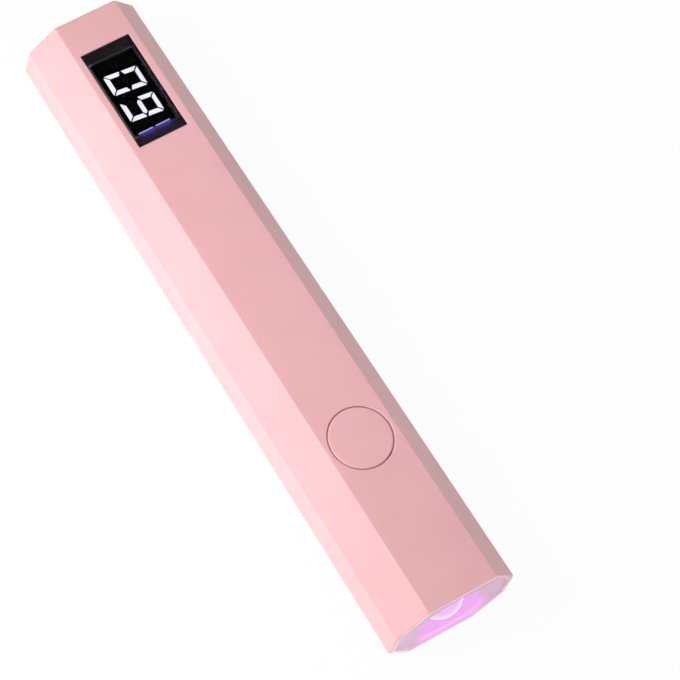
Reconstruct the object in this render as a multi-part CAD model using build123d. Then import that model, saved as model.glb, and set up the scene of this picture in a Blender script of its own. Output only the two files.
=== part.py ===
from build123d import *
import math
import os

# Handheld nail lamp: a tapered eight-sided barrel that holds a light at one end, a countdown
# display and a push button on top, and a charging socket, boards and a battery inside.
# Millimetres. The base is flat on z = 0, +X runs to the light end and +Z is up.

os.makedirs("parts", exist_ok=True)

# Barrel
length = 103.0
width = 20.0
height = 17.0
top_flat = 11.6
side_flat = 6.0
tail_scale = 0.885
wall = 1.4
tail_wall = 1.4
crease_radius = 0.3
rim_chamfer = 0.25
rim_thickness = 0.8
rail_thickness = 0.8
rail_overlap = 0.6

# Clearances
slide_gap = 0.1
seat_gap = 0.1
hole_gap = 0.05
touch_gap = 0.02

# Display window, with a ledge that the film under the pane lies on
window_length = 16.6
window_width = 8.2
window_set_back = 0.2
window_edge = 0.12
pane_thickness = 0.6
mask_thickness = 0.1
mask_border_ends = 2.05
mask_border_sides = 0.625
ledge_ends = 1.1
ledge_sides = 0.45

# Display module
display_height = 3.8
display_gap = 0.08
aperture_gap = 0.2
segment_slant = 5.7
segment_gap = 0.1
segment_depth = 0.3
pin_radius = 0.25
pin_row_inset = 1.15
pins_per_row = 5

# The digits' sizes, as shares of the module's width and length
digit_height_share = 0.797
stroke_share = 0.1043
digit_width_share = 0.2464
digit_pitch_share = 0.3357
first_digit_share = -0.1707
bar_pitch_share = 0.28
pin_pitch_share = 0.1814
pin_tail = 0.7

# Push button
button_from_light = 27.1
button_radius = 4.75
button_gap = 0.15
button_travel = 0.3
button_skin = 1.0
button_edge = 0.15
button_hole_edge = 0.1
ear_length = 1.45
ear_width = 7.0
ear_thickness = 0.8
stem_radius = 1.6

# Tact switch
switch_size = 6.0
switch_base_height = 1.9
switch_cover_thickness = 0.3
switch_dome_radius = 2.2
switch_dome_thickness = 0.1
plunger_radius = 1.75
plunger_flange = 2.0
plunger_flange_thickness = 0.4
plunger_rise = 0.7
leg_width = 0.7
leg_reach = 1.0
leg_thickness = 0.2

# Main board and carrier
board_thickness = 1.0
board_side_inset = 1.05
board_front_gap = 3.6
boss_height = 1.2
boss_radius = 1.5
boss_rail_gap = 0.65
web_thickness = 1.0
lead_slot_length = 4.0
lead_slot_width = 8.0
bulkhead_thickness = 1.4
bulkhead_edge = 0.4
bulkhead_rise = 2.6
screw_radius = 0.6
screw_head_radius = 1.2
screw_head_height = 0.8
screw_bite = 0.7
socket_depth = 0.4

# Chips: three sizes, legs a side and their pitch
timer_size = (9.9, 3.9, 1.4)
timer_leg_count = 8
charger_size = (4.9, 3.9, 1.4)
charger_leg_count = 4
driver_size = (2.9, 1.6, 1.1)
driver_leg_count = 3
driver_inset = 3.3
chip_leg_pitch = 1.27
driver_leg_pitch = 0.95
chip_foot = 0.2
chip_leg_width = 0.4
chip_leg_reach = 0.9

# Coil and passives
coil_radius = 2.4
coil_height = 3.0
coil_waist = 0.9
passive_pitch = 2.4
resistor_count = 4
resistor_inset = 1.6
resistor_size = (1.6, 0.8, 0.45)
capacitor_count = 4
capacitor_inset = 1.8
capacitor_size = (2.0, 1.25, 0.9)

# Places on the board, as shares of the stretch between the display and the switch
boss_shares = (0.106, 0.488)
resistor_share = 0.184
timer_share = 0.34
capacitor_share = 0.56
charger_share = 0.59
coil_share = 0.716
driver_share = 0.822

# Charging socket
socket_width = 8.94
socket_height = 3.16
socket_length = 6.6
socket_sheet = 0.3
socket_inset = 0.3
socket_hole_gap = 0.25
socket_display_gap = 0.3
tongue_width = 6.7
tongue_thickness = 0.7
tongue_inset = 0.6
tongue_block = 1.6
contact_count = 12
contact_pitch = 0.5
contact_width = 0.25
contact_thickness = 0.06

# Battery
battery_length = 39.5
battery_width = 10.0
foam_thickness = 0.8
battery_from_tail = 24.0
battery_edge = 0.8
tape_thickness = 0.2
guard_board_thickness = 0.8
guard_board_inset = 0.4
cradle_wall = 0.8
cradle_gap = 0.3
cradle_share = 0.6

# Light end, from the rim inwards
reflector_inset = 0.4
reflector_thickness = 3.0
dish_mouth_radius = 5.6
dish_depth = 1.5
lens_radius = 3.7
lens_apex_inset = 0.05
lens_flange_radius = 4.6
lens_flange_thickness = 1.0
spacer_thickness = 1.3
skirt_thickness = 0.9
light_board_thickness = 1.6
light_board_inset = 0.3
pad_thickness = 0.2
heat_sink_length = 8.0
heat_sink_gap = 0.15
fin_slot_width = 1.2
fin_pitch = 2.4
fin_count = 3
fin_slot_depth = 5.0
emitter_size = 5.0
emitter_height = 0.9
die_size = 1.1
die_height = 0.2
silicone_radius = 1.7
lens_cavity_gap = 0.4
light_screw_inset = 1.3
sink_screw_inset = 3.4
sink_screw_length = 5.0

# Leads
lead_radius = 0.45
lead_groove_gap = 0.15
battery_lead_spread = 1.6
light_lead_inset = 2.2
light_lead_height = 5.6
lead_pad_inset = 1.2
lead_start_run = 0.4


# Stations along the barrel
tail_x = -length / 2
light_x = length / 2
cavity_tail_x = tail_x + tail_wall
socket_front_x = tail_x + socket_inset
socket_back_x = socket_front_x + socket_length
display_length = window_length - 2 * (ledge_ends + aperture_gap)
display_width = window_width - 2 * (ledge_sides + aperture_gap)
digit_height = digit_height_share * display_width
stroke = stroke_share * display_width
digit_width = digit_width_share * display_length
pin_pitch = pin_pitch_share * display_length
display_tail_x = socket_back_x + socket_display_gap
display_x = display_tail_x + display_length / 2
window_x = display_x - window_set_back
button_x = light_x - button_from_light
reflector_front_x = light_x - reflector_inset
reflector_back_x = reflector_front_x - reflector_thickness
lens_back_x = reflector_back_x - lens_flange_thickness
light_board_front_x = lens_back_x - spacer_thickness
light_board_back_x = light_board_front_x - light_board_thickness
heat_sink_front_x = light_board_back_x - pad_thickness
heat_sink_back_x = heat_sink_front_x - heat_sink_length
bulkhead_x = heat_sink_back_x - bulkhead_thickness
carrier_tail_x = cavity_tail_x + 2 * slide_gap
board_front_x = bulkhead_x - board_front_gap
battery_tail_x = tail_x + battery_from_tail
battery_front_x = battery_tail_x + battery_length
guard_board_front_x = battery_front_x + guard_board_thickness
light_axis_z = height / 2

# The top face climbs to the light end at this slope.
top_slope = (1 - tail_scale) * height / length


def section_scale(x):
    """Size of the eight-sided section at x, as a share of the one at the light end."""
    return tail_scale + (1 - tail_scale) * (x - tail_x) / length


def top_z(x):
    return height * section_scale(x)


def octagon_quarter(x, inset):
    """The top flat's corner and the side flat's corner, as y and height over the centre."""
    scale = section_scale(x)
    half_width = scale * width / 2
    half_height = scale * height / 2
    half_top = scale * top_flat / 2
    half_side = scale * side_flat / 2
    bevel = math.hypot(half_height - half_side, half_width - half_top)
    normal_y = (half_height - half_side) / bevel
    normal_z = (half_width - half_top) / bevel
    reach = normal_y * half_top + normal_z * half_height - inset
    top_y = (reach - normal_z * (half_height - inset)) / normal_y
    side_z = (reach - normal_y * (half_width - inset)) / normal_z
    return (top_y, half_height - inset), (half_width - inset, side_z)


def octagon_points(x, inset):
    """Corners of the section at x, with every side moved in by the inset."""
    (top_y, top), (side_y, side_z) = octagon_quarter(x, inset)
    middle = height * section_scale(x) / 2
    right = [(top_y, top), (side_y, side_z), (side_y, -side_z), (top_y, -top)]
    return [(x, side * y, middle + z) for y, z in right for side in (-1, 1)]


def tapered_prism(x_from, x_to, inset):
    """The stretch of the barrel's own shape between two stations, moved in by the inset."""
    return ConvexPolyhedron(octagon_points(x_from, inset) + octagon_points(x_to, inset))


def block(x_from, x_to, y_from, y_to, z_from, z_to):
    size = (x_to - x_from, y_to - y_from, z_to - z_from)
    centre = ((x_from + x_to) / 2, (y_from + y_to) / 2, (z_from + z_to) / 2)
    return Pos(*centre) * Box(*size)


def rod_x(x_from, x_to, y, z, radius):
    """Round rod along X."""
    return Pos((x_from + x_to) / 2, y, z) * Rot(0, 90, 0) * Cylinder(radius, x_to - x_from)


def rod_z(x, y, z_from, z_to, radius):
    """Upright round rod."""
    return Pos(x, y, (z_from + z_to) / 2) * Cylinder(radius, z_to - z_from)


def ring_x(x_from, x_to, z, outer, inner):
    """Ring about an axis along X on the middle plane."""
    return rod_x(x_from, x_to, 0, z, outer) - rod_x(x_from, x_to, 0, z, inner)


def lid_frame(x):
    """Plane on the barrel's top face at x, with its own z square to that face."""
    return Plane(origin=(x, 0, top_z(x)), x_dir=(1, 0, top_slope), z_dir=(-top_slope, 0, 1))


def lid_block(x, x_size, y_size, depth_from, depth_to):
    """Block in the top face, between two depths under it."""
    middle = -(depth_from + depth_to) / 2
    return lid_frame(x) * Pos(0, 0, middle) * Box(x_size, y_size, depth_to - depth_from)


def save(name, *shapes):
    """Write one named piece, or a group of like pieces, as a file of its own."""
    solids = [solid for shape in shapes for solid in shape.solids()]
    whole = solids[0] if len(solids) == 1 else Compound(children=solids)
    export_step(whole, f"parts/{name}.step")


# Heights, hung from the display window down
seat_depth = pane_thickness + mask_thickness
display_top_z = top_z(display_tail_x) - seat_depth - display_gap
board_top_z = display_top_z - display_height
board_bottom_z = board_top_z - board_thickness
board_middle_z = (board_top_z + board_bottom_z) / 2
web_top_z = board_bottom_z - boss_height
web_bottom_z = web_top_z - web_thickness
battery_top_z = web_bottom_z - tape_thickness
battery_bottom_z = wall + foam_thickness
battery_middle_z = (battery_top_z + battery_bottom_z) / 2
cradle_bottom_z = web_bottom_z - cradle_share * (battery_top_z - battery_bottom_z)

# The carrier's web slides between rails on the barrel's side walls.
tail_inner_width = octagon_quarter(cavity_tail_x, wall)[1][0]
web_half_width = tail_inner_width - 2 * slide_gap
rail_tip_y = web_half_width - rail_overlap
board_half_width = web_half_width - board_side_inset
boss_y = rail_tip_y - boss_radius - boss_rail_gap
driver_y = board_half_width - driver_inset
light_lead_spread = board_half_width - light_lead_inset

# Two screws hold the heat sink to the carrier's bulkhead.
sink_screw_y = octagon_quarter(heat_sink_back_x, wall)[1][0] - sink_screw_inset
sink_screw_z = web_bottom_z - screw_head_radius - 2 * slide_gap
bulkhead_bottom_z = sink_screw_z - screw_head_radius - bulkhead_edge

# Button heights
ceiling_z = top_z(button_x - button_radius - ear_length) - wall
ear_top_z = ceiling_z - 2 * touch_gap
ear_bottom_z = ear_top_z - ear_thickness
cover_bottom_z = board_top_z + switch_base_height
cover_top_z = cover_bottom_z + switch_cover_thickness
# The plunger's flange rides on the snap dome, whose rise leaves room for the travel.
flange_top_z = cover_bottom_z - hole_gap
flange_bottom_z = flange_top_z - plunger_flange_thickness
dome_room = button_travel + switch_dome_thickness + hole_gap
switch_floor_z = flange_bottom_z - dome_room
plunger_top_z = cover_top_z + plunger_rise
stem_bottom_z = plunger_top_z + touch_gap


def side_rails():
    """Two rails on each side wall, over and under the carrier's web."""
    rails = []
    for z_from in (web_bottom_z - slide_gap - rail_thickness, web_top_z + slide_gap):
        for side in (-1, 1):
            y_low = min(side * rail_tip_y, side * width / 2)
            y_high = max(side * rail_tip_y, side * width / 2)
            rails.append(block(cavity_tail_x, heat_sink_back_x - seat_gap - slide_gap,
                               y_low, y_high, z_from, z_from + rail_thickness))
    return rails


def edges_in_lid(barrel, x, reach):
    """Edges of an opening in the top face, about x."""
    lid = lid_frame(x)
    near = barrel.edges().filter_by(lambda edge: abs(edge.center().X - x) < reach + wall)
    flat = near.filter_by(lambda edge: abs(lid.to_local_coords(edge @ 0.25).Z) < touch_gap
                          and abs(lid.to_local_coords(edge @ 0.75).Z) < touch_gap)
    return flat.filter_by(lambda edge: abs(edge.center().Y) < (window_width + wall) / 2)


def make_barrel():
    """One-piece drafted moulding, open at the light end, with rails inside."""
    outside = tapered_prism(tail_x, light_x, 0)
    long_edges = outside.edges().filter_by(lambda edge: edge.length > length / 2)
    outside = fillet(long_edges, crease_radius)
    end_edges = outside.edges().group_by(Axis.X)
    outside = chamfer(end_edges[-1] + end_edges[0], rim_chamfer)
    cavity = tapered_prism(cavity_tail_x, light_x + wall, wall)
    # The reflector sits on a step where the wall thins towards the mouth.
    mouth = tapered_prism(reflector_back_x, light_x + wall, rim_thickness)
    rails = [rail & tapered_prism(tail_x, light_x, wall / 2) for rail in side_rails()]
    barrel = outside - cavity - mouth
    for rail in rails:
        barrel += rail
    window_seat = lid_block(window_x, window_length, window_width, -wall, seat_depth)
    aperture = lid_block(display_x, display_length + 2 * aperture_gap,
                         display_width + 2 * aperture_gap, 0, 2 * wall)
    button_hole = rod_z(button_x, 0, ceiling_z - wall, height + wall, button_radius + button_gap)
    socket_hole = socket_slot(tail_x - wall, cavity_tail_x + wall, socket_hole_gap)
    barrel = barrel - window_seat - aperture - button_hole - socket_hole
    barrel = chamfer(edges_in_lid(barrel, window_x, window_length / 2), window_edge)
    return chamfer(edges_in_lid(barrel, button_x, button_radius), button_hole_edge)


def make_window_pane():
    return lid_block(window_x, window_length - 2 * seat_gap, window_width - 2 * seat_gap,
                     0, pane_thickness)


def make_window_mask():
    """Dark printed film under the pane, with a clear opening over the digits."""
    film = lid_block(window_x, window_length - 2 * seat_gap, window_width - 2 * seat_gap,
                     pane_thickness, seat_depth)
    opening = lid_block(window_x, window_length - 2 * mask_border_ends,
                        window_width - 2 * mask_border_sides, 0, 2 * seat_depth)
    return film - opening


def segment_outlines():
    """Corner points of the seven strokes of an upright digit about its own centre."""
    side = digit_width / 2
    top = digit_height / 2
    gap = segment_gap
    cap = [(-side + gap, top), (side - gap, top), (side - stroke - gap, top - stroke),
           (-side + stroke + gap, top - stroke)]
    upright = [(-side, top - gap), (-side + stroke, top - stroke - gap),
               (-side + stroke, stroke / 2 + gap), (-side, gap)]
    dash = [(-side + stroke / 2 + gap, 0), (-side + stroke + gap, stroke / 2),
            (side - stroke - gap, stroke / 2), (side - stroke / 2 - gap, 0),
            (side - stroke - gap, -stroke / 2), (-side + stroke + gap, -stroke / 2)]
    return {
        "top": cap,
        "bottom": [(x, -y) for x, y in cap],
        "upper_left": upright,
        "upper_right": [(-x, y) for x, y in upright],
        "lower_left": [(x, -y) for x, y in upright],
        "lower_right": [(-x, -y) for x, y in upright],
        "middle": dash,
    }


def make_segment(outline, offset):
    """One stroke, slanted, as a thin block let into the display's face."""
    lean = math.tan(math.radians(segment_slant))
    points = [(display_x + offset + x + lean * y, y) for x, y in outline]
    face = make_face(Polyline(*points, close=True))
    return Pos(0, 0, display_top_z - segment_depth) * extrude(face, segment_depth)


def make_segments():
    """The lit strokes of 0, 9 and a leading bar, and the two strokes that stay dark."""
    outlines = segment_outlines()
    first_digit_offset = first_digit_share * display_length
    second_digit_offset = first_digit_offset + digit_pitch_share * display_length
    bar_offset = second_digit_offset + bar_pitch_share * display_length
    dark = [("middle", first_digit_offset), ("lower_left", second_digit_offset)]
    lit_solids = []
    dark_solids = []
    for offset in (first_digit_offset, second_digit_offset):
        for name, outline in outlines.items():
            solid = make_segment(outline, offset)
            group = dark_solids if (name, offset) in dark else lit_solids
            group.append(solid)
    for name in ("upper_left", "lower_left"):
        shifted = [(x + digit_width / 2 - stroke / 2, y) for x, y in outlines[name]]
        lit_solids.append(make_segment(shifted, bar_offset))
    return lit_solids, dark_solids


def make_display_body(segments):
    body = block(display_tail_x, display_tail_x + display_length, -display_width / 2,
                 display_width / 2, board_top_z, display_top_z)
    for segment in segments:
        body -= segment
    return body


def pin_places():
    first = display_x - (pins_per_row - 1) / 2 * pin_pitch
    return [(first + i * pin_pitch, side * (display_width / 2 - pin_row_inset))
            for i in range(pins_per_row) for side in (-1, 1)]


def make_display_pins():
    return [rod_z(x, y, board_bottom_z - pin_tail, board_top_z, pin_radius)
            for x, y in pin_places()]


def make_button_cap():
    """Cap with a top trimmed to the barrel's sloped face, two ears and a stem underneath."""
    body = rod_z(button_x, 0, ear_bottom_z, height + wall, button_radius)
    body -= lid_block(button_x, length, width, -height, 0)
    rim = body.faces().sort_by(Axis.Z)[-1].edges()
    body = chamfer(rim, button_edge)
    inside_top = top_z(button_x - button_radius) - button_skin
    body -= rod_z(button_x, 0, 0, inside_top, button_radius - button_skin)
    reach = button_radius + ear_length
    ears = block(button_x - reach, button_x + reach, -ear_width / 2, ear_width / 2,
                 ear_bottom_z, ear_top_z)
    ears -= rod_z(button_x, 0, 0, height, button_radius - button_skin)
    stem = rod_z(button_x, 0, stem_bottom_z, inside_top + touch_gap, stem_radius)
    return body + ears + stem


def make_switch_base():
    half = switch_size / 2
    base = block(button_x - half, button_x + half, -half, half, board_top_z, cover_bottom_z)
    recess_radius = switch_dome_radius + hole_gap
    recess = rod_z(button_x, 0, switch_floor_z, cover_bottom_z, recess_radius)
    return base - recess


def make_switch_dome():
    """Snap dome, a thin cap of a sphere."""
    rise = dome_room - touch_gap
    radius = (switch_dome_radius**2 + rise**2) / (2 * rise)
    centre_z = switch_floor_z + rise - radius
    shell = Pos(button_x, 0, centre_z) * (Sphere(radius) - Sphere(radius - switch_dome_thickness))
    keep = rod_z(button_x, 0, switch_floor_z, cover_bottom_z, switch_dome_radius)
    return shell & keep


def make_switch_plunger():
    flange = rod_z(button_x, 0, flange_bottom_z, flange_top_z, plunger_flange)
    return flange + rod_z(button_x, 0, flange_bottom_z, plunger_top_z, plunger_radius)


def make_switch_cover():
    half = switch_size / 2
    cover = block(button_x - half, button_x + half, -half, half, cover_bottom_z, cover_top_z)
    hole = rod_z(button_x, 0, cover_bottom_z, cover_top_z, plunger_radius + hole_gap)
    return cover - hole


def gull_leg(x, y_root, z_root):
    """Bent leg from a package's side down to a flat foot on the board."""
    side = 1 if y_root > 0 else -1
    knee = y_root + side * leg_reach / 2
    toe = y_root + side * leg_reach
    half = leg_width / 2
    arm = block(x - half, x + half, min(y_root, knee), max(y_root, knee),
                z_root - leg_thickness, z_root)
    drop = block(x - half, x + half, min(knee, knee - side * leg_thickness),
                 max(knee, knee - side * leg_thickness), board_top_z, z_root)
    foot = block(x - half, x + half, min(knee, toe), max(knee, toe),
                 board_top_z, board_top_z + leg_thickness)
    return arm + drop + foot


def make_switch_legs():
    spread = switch_size / 2 - leg_width
    root_z = board_top_z + switch_base_height / 2
    return [gull_leg(button_x + x_side * spread, y_side * switch_size / 2, root_z)
            for x_side in (-1, 1) for y_side in (-1, 1)]


def board_x(share):
    """Place on the board between the display and the switch."""
    start = display_tail_x + display_length
    return start + share * (button_x - switch_size / 2 - start)


def boss_points():
    """Screw places, on both sides of the board."""
    return [(board_x(share), side * boss_y) for share in boss_shares for side in (-1, 1)]


def socket_slot(x_from, x_to, grow):
    """Round-ended bar of the charging socket's outline, grown all round."""
    outline = SlotOverall(socket_width + 2 * grow, socket_height + 2 * grow)
    face = Plane(origin=(x_from, 0, board_middle_z), x_dir=(0, 1, 0), z_dir=(1, 0, 0)) * outline
    return extrude(face, x_to - x_from)


def make_main_board():
    half = board_half_width
    board = block(carrier_tail_x, board_front_x, -half, half, board_bottom_z, board_top_z)
    notch_half = socket_width / 2 + aperture_gap
    board -= block(carrier_tail_x - wall, socket_back_x + slide_gap, -notch_half, notch_half,
                   board_bottom_z, board_top_z)
    for x, y in boss_points():
        board -= rod_z(x, y, board_bottom_z, board_top_z, screw_radius + slide_gap)
    for x, y in pin_places():
        board -= rod_z(x, y, board_bottom_z, board_top_z, pin_radius + hole_gap)
    return board


def board_screw(x, y):
    """Pan-head screw with a cross recess."""
    head = rod_z(x, y, board_top_z, board_top_z + screw_head_height, screw_head_radius)
    shank = rod_z(x, y, web_top_z - screw_bite, board_top_z, screw_radius)
    slot = screw_head_radius
    slot_z = board_top_z + screw_head_height - socket_depth
    for long_x, long_y in ((slot, socket_depth), (socket_depth, slot)):
        head -= block(x - long_x / 2, x + long_x / 2, y - long_y / 2, y + long_y / 2,
                      slot_z, height)
    return head + shank


def make_carrier():
    """Slide-in frame: a web between the rails, a cradle for the battery and a bulkhead."""
    carrier = block(carrier_tail_x, heat_sink_back_x, -web_half_width, web_half_width,
                    web_bottom_z, web_top_z)
    cradle_y = battery_width / 2 + cradle_gap
    for side in (-1, 1):
        inner = side * cradle_y
        outer = side * (cradle_y + cradle_wall)
        carrier += block(battery_tail_x - cradle_wall, battery_front_x, min(inner, outer),
                         max(inner, outer), cradle_bottom_z, web_bottom_z)
    carrier += block(battery_tail_x - cradle_gap - cradle_wall, battery_tail_x - cradle_gap,
                     -cradle_y, cradle_y, cradle_bottom_z, web_bottom_z)
    half = sink_screw_y + screw_head_radius
    carrier += block(bulkhead_x, heat_sink_back_x, -half, half, bulkhead_bottom_z,
                     web_top_z + bulkhead_rise)
    carrier &= tapered_prism(cavity_tail_x, light_x, wall + slide_gap)
    for x, y in boss_points():
        carrier += rod_z(x, y, web_top_z, board_bottom_z, boss_radius)
        carrier -= rod_z(x, y, web_bottom_z, board_bottom_z, screw_radius + hole_gap)
    for side in (-1, 1):
        carrier -= rod_x(bulkhead_x, heat_sink_back_x, side * sink_screw_y, sink_screw_z,
                         screw_radius + hole_gap)
    slot_x = guard_board_front_x + lead_radius
    carrier -= block(slot_x, slot_x + lead_slot_length, -lead_slot_width / 2,
                     lead_slot_width / 2, web_bottom_z, web_top_z)
    return carrier


def chip_body(x, y, size):
    """Moulded package that stands a foot's height over the board."""
    x_size, y_size, z_size = size
    z_low = board_top_z + chip_foot
    return block(x - x_size / 2, x + x_size / 2, y - y_size / 2, y + y_size / 2,
                 z_low, z_low + z_size)


def chip_legs(x, y, size, per_side, pitch):
    """Rows of flat legs along both long sides of a chip."""
    _, y_size, z_size = size
    legs = []
    for i in range(per_side):
        leg_x = x + (i - (per_side - 1) / 2) * pitch
        for side in (-1, 1):
            root = y + side * y_size / 2
            toe = root + side * chip_leg_reach
            legs.append(block(leg_x - chip_leg_width / 2, leg_x + chip_leg_width / 2,
                              min(root, toe), max(root, toe), board_top_z,
                              board_top_z + chip_foot + z_size / 3))
    return legs


def make_chip_legs():
    return (chip_legs(board_x(timer_share), 0, timer_size, timer_leg_count, chip_leg_pitch)
            + chip_legs(board_x(charger_share), 0, charger_size, charger_leg_count,
                        chip_leg_pitch)
            + chip_legs(board_x(driver_share), driver_y, driver_size, driver_leg_count,
                        driver_leg_pitch))


def make_coil():
    """Drum core with a winding groove round its middle."""
    x = board_x(coil_share)
    core = rod_z(x, 0, board_top_z, board_top_z + coil_height, coil_radius)
    groove_low = board_top_z + coil_height / 3 - touch_gap
    groove_high = board_top_z + 2 * coil_height / 3 + touch_gap
    groove = rod_z(x, 0, groove_low, groove_high, coil_radius)
    groove -= rod_z(x, 0, groove_low, groove_high, coil_radius - coil_waist)
    return core - groove


def make_coil_winding():
    x = board_x(coil_share)
    low = board_top_z + coil_height / 3
    high = board_top_z + 2 * coil_height / 3
    outer = rod_z(x, 0, low, high, coil_radius - coil_waist / 3)
    return outer - rod_z(x, 0, low, high, coil_radius - coil_waist)


def passive_row(first_x, count, y, size):
    """Row of small passives with their end caps flat on the board."""
    x_size, y_size, z_size = size
    row = []
    for i in range(count):
        x = first_x + i * passive_pitch
        row.append(block(x - x_size / 2, x + x_size / 2, y - y_size / 2, y + y_size / 2,
                         board_top_z, board_top_z + z_size))
    return row


def make_socket_shell():
    shell = socket_slot(socket_front_x, socket_back_x, 0)
    shell -= socket_slot(socket_front_x - wall, socket_back_x - socket_sheet, -socket_sheet)
    reach = socket_width / 2
    tab_x = socket_front_x + socket_length / 3
    for x in (tab_x, tab_x + socket_length / 3):
        for side in (-1, 1):
            root = side * (reach - 2 * socket_sheet)
            tip = side * (reach + leg_reach)
            tab = block(x, x + leg_reach, min(root, tip), max(root, tip),
                        board_top_z, board_top_z + leg_thickness)
            shell += tab - socket_slot(tail_x, cavity_tail_x + socket_length, -socket_sheet)
    return shell


def make_socket_tongue():
    """Contact carrier: a block that fills the shell's rear and a thin tongue in its mouth."""
    inner_back = socket_back_x - socket_sheet
    tongue_back = inner_back - tongue_block
    rear = socket_slot(tongue_back, inner_back, -socket_sheet)
    tongue = block(socket_front_x + tongue_inset, tongue_back, -tongue_width / 2,
                   tongue_width / 2, board_middle_z - tongue_thickness / 2,
                   board_middle_z + tongue_thickness / 2)
    return rear + tongue


def make_socket_contacts():
    tongue_back = socket_back_x - socket_sheet - tongue_block
    contacts = []
    for i in range(contact_count):
        y = (i - (contact_count - 1) / 2) * contact_pitch
        for side in (-1, 1):
            face = board_middle_z + side * tongue_thickness / 2
            proud = face + side * contact_thickness
            contacts.append(block(socket_front_x + 2 * tongue_inset, tongue_back,
                                  y - contact_width / 2, y + contact_width / 2,
                                  min(face, proud), max(face, proud)))
    return contacts


def make_battery():
    cell = block(battery_tail_x, battery_front_x, -battery_width / 2, battery_width / 2,
                 battery_bottom_z, battery_top_z)
    return fillet(cell.edges().filter_by(Axis.X), battery_edge)


def make_battery_tape():
    margin = 2 * battery_edge
    half = battery_width / 2 - battery_edge
    return block(battery_tail_x + margin, battery_front_x - margin, -half, half,
                 battery_top_z, web_bottom_z)


def make_foam_pad():
    """Springy pad that fills the room between the battery and the barrel's floor."""
    margin = 2 * battery_edge
    half = battery_width / 2 - 2 * battery_edge
    return block(battery_tail_x + margin, battery_front_x - margin, -half, half,
                 wall, battery_bottom_z)


def make_guard_board():
    """Small protection board across the battery's front end."""
    half = battery_width / 2 - guard_board_inset
    return block(battery_front_x, guard_board_front_x, -half, half,
                 battery_bottom_z + guard_board_inset, battery_top_z - guard_board_inset)


def half_ball(x, radius):
    """Half of a ball on the light's axis, flat at x and round towards the light end."""
    upright = Sphere(radius, arc_size1=0, align=(Align.CENTER, Align.CENTER, Align.MIN))
    return Pos(x, 0, light_axis_z) * Rot(0, 90, 0) * upright


def make_dome_lens():
    centre_x = light_x - lens_apex_inset - lens_radius
    ball = half_ball(centre_x, lens_radius)
    neck = rod_x(lens_back_x, centre_x, 0, light_axis_z, lens_radius)
    flange = rod_x(lens_back_x, reflector_back_x, 0, light_axis_z, lens_flange_radius)
    room = half_ball(light_board_front_x + emitter_height, silicone_radius + lens_cavity_gap)
    return ball + neck + flange - room


def make_lens_spacer():
    return ring_x(light_board_front_x, lens_back_x, light_axis_z, lens_flange_radius,
                  lens_radius)


def make_reflector():
    """Front plate with a shallow dish round the lens and a skirt behind it."""
    plate = tapered_prism(reflector_back_x, reflector_front_x, rim_thickness + seat_gap)
    bore_radius = lens_radius + seat_gap
    middle_x = reflector_front_x - dish_depth / 2
    dish = Pos(middle_x, 0, light_axis_z) * Rot(0, 90, 0) * Cone(
        bore_radius, dish_mouth_radius, dish_depth)
    plate -= dish
    plate -= rod_x(reflector_back_x - wall, light_x, 0, light_axis_z, bore_radius)
    inner = lens_flange_radius + seat_gap
    skirt = ring_x(light_board_front_x, reflector_back_x, light_axis_z,
                   inner + skirt_thickness, inner)
    for side in (-1, 1):
        skirt -= rod_x(light_board_front_x, reflector_back_x, side * light_screw_y(),
                       light_axis_z, screw_head_radius + seat_gap)
    return plate + skirt


def light_screw_y():
    """The light board's screws sit this far out, inside its side edges."""
    board_side = octagon_quarter(light_board_back_x, wall + light_board_inset)[1][0]
    return board_side - light_screw_inset


def lead_grooves(x_from, x_to):
    """Notches in the top edge that let the two light leads pass."""
    half = lead_radius + lead_groove_gap
    bottom = light_axis_z + light_lead_height - half
    return [block(x_from, x_to, side * light_lead_spread - half, side * light_lead_spread + half,
                  bottom, height) for side in (-1, 1)]


def light_screw_holes(x_from, x_to):
    return [rod_x(x_from, x_to, side * light_screw_y(), light_axis_z, screw_radius + hole_gap)
            for side in (-1, 1)]


def make_light_board():
    board = tapered_prism(light_board_back_x, light_board_front_x, wall + light_board_inset)
    for cut in (lead_grooves(light_board_back_x, light_board_front_x)
                + light_screw_holes(light_board_back_x, light_board_front_x)):
        board -= cut
    return board


def make_thermal_pad():
    pad = tapered_prism(heat_sink_front_x, light_board_back_x, wall + light_board_inset)
    for cut in (lead_grooves(heat_sink_front_x, light_board_back_x)
                + light_screw_holes(heat_sink_front_x, light_board_back_x)):
        pad -= cut
    return pad


def make_heat_sink():
    """Block that follows the barrel's inside, with fins open to the rear."""
    sink = tapered_prism(heat_sink_back_x, heat_sink_front_x, wall + heat_sink_gap)
    slot_front = heat_sink_back_x + fin_slot_depth
    for i in range(fin_count):
        y = (i - (fin_count - 1) / 2) * fin_pitch
        sink -= block(heat_sink_back_x, slot_front, y - fin_slot_width / 2,
                      y + fin_slot_width / 2, 0, height)
    for side in (-1, 1):
        sink -= rod_x(heat_sink_back_x, heat_sink_back_x + sink_screw_length + touch_gap,
                      side * sink_screw_y, sink_screw_z, screw_radius + hole_gap)
    screw_tip_x = light_board_front_x - sink_screw_length
    for cut in (lead_grooves(heat_sink_back_x, heat_sink_front_x)
                + light_screw_holes(screw_tip_x - touch_gap, heat_sink_front_x)):
        sink -= cut
    return sink


def make_light_screws():
    screws = []
    for side in (-1, 1):
        y = side * light_screw_y()
        head = rod_x(light_board_front_x, light_board_front_x + screw_head_height, y,
                     light_axis_z, screw_head_radius)
        slot = socket_depth / 2
        head -= block(light_board_front_x + screw_head_height - socket_depth, light_x,
                      y - slot, y + slot, 0, height)
        shank = rod_x(light_board_front_x - sink_screw_length, light_board_front_x, y,
                      light_axis_z, screw_radius)
        screws.append(head + shank)
    return screws


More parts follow.
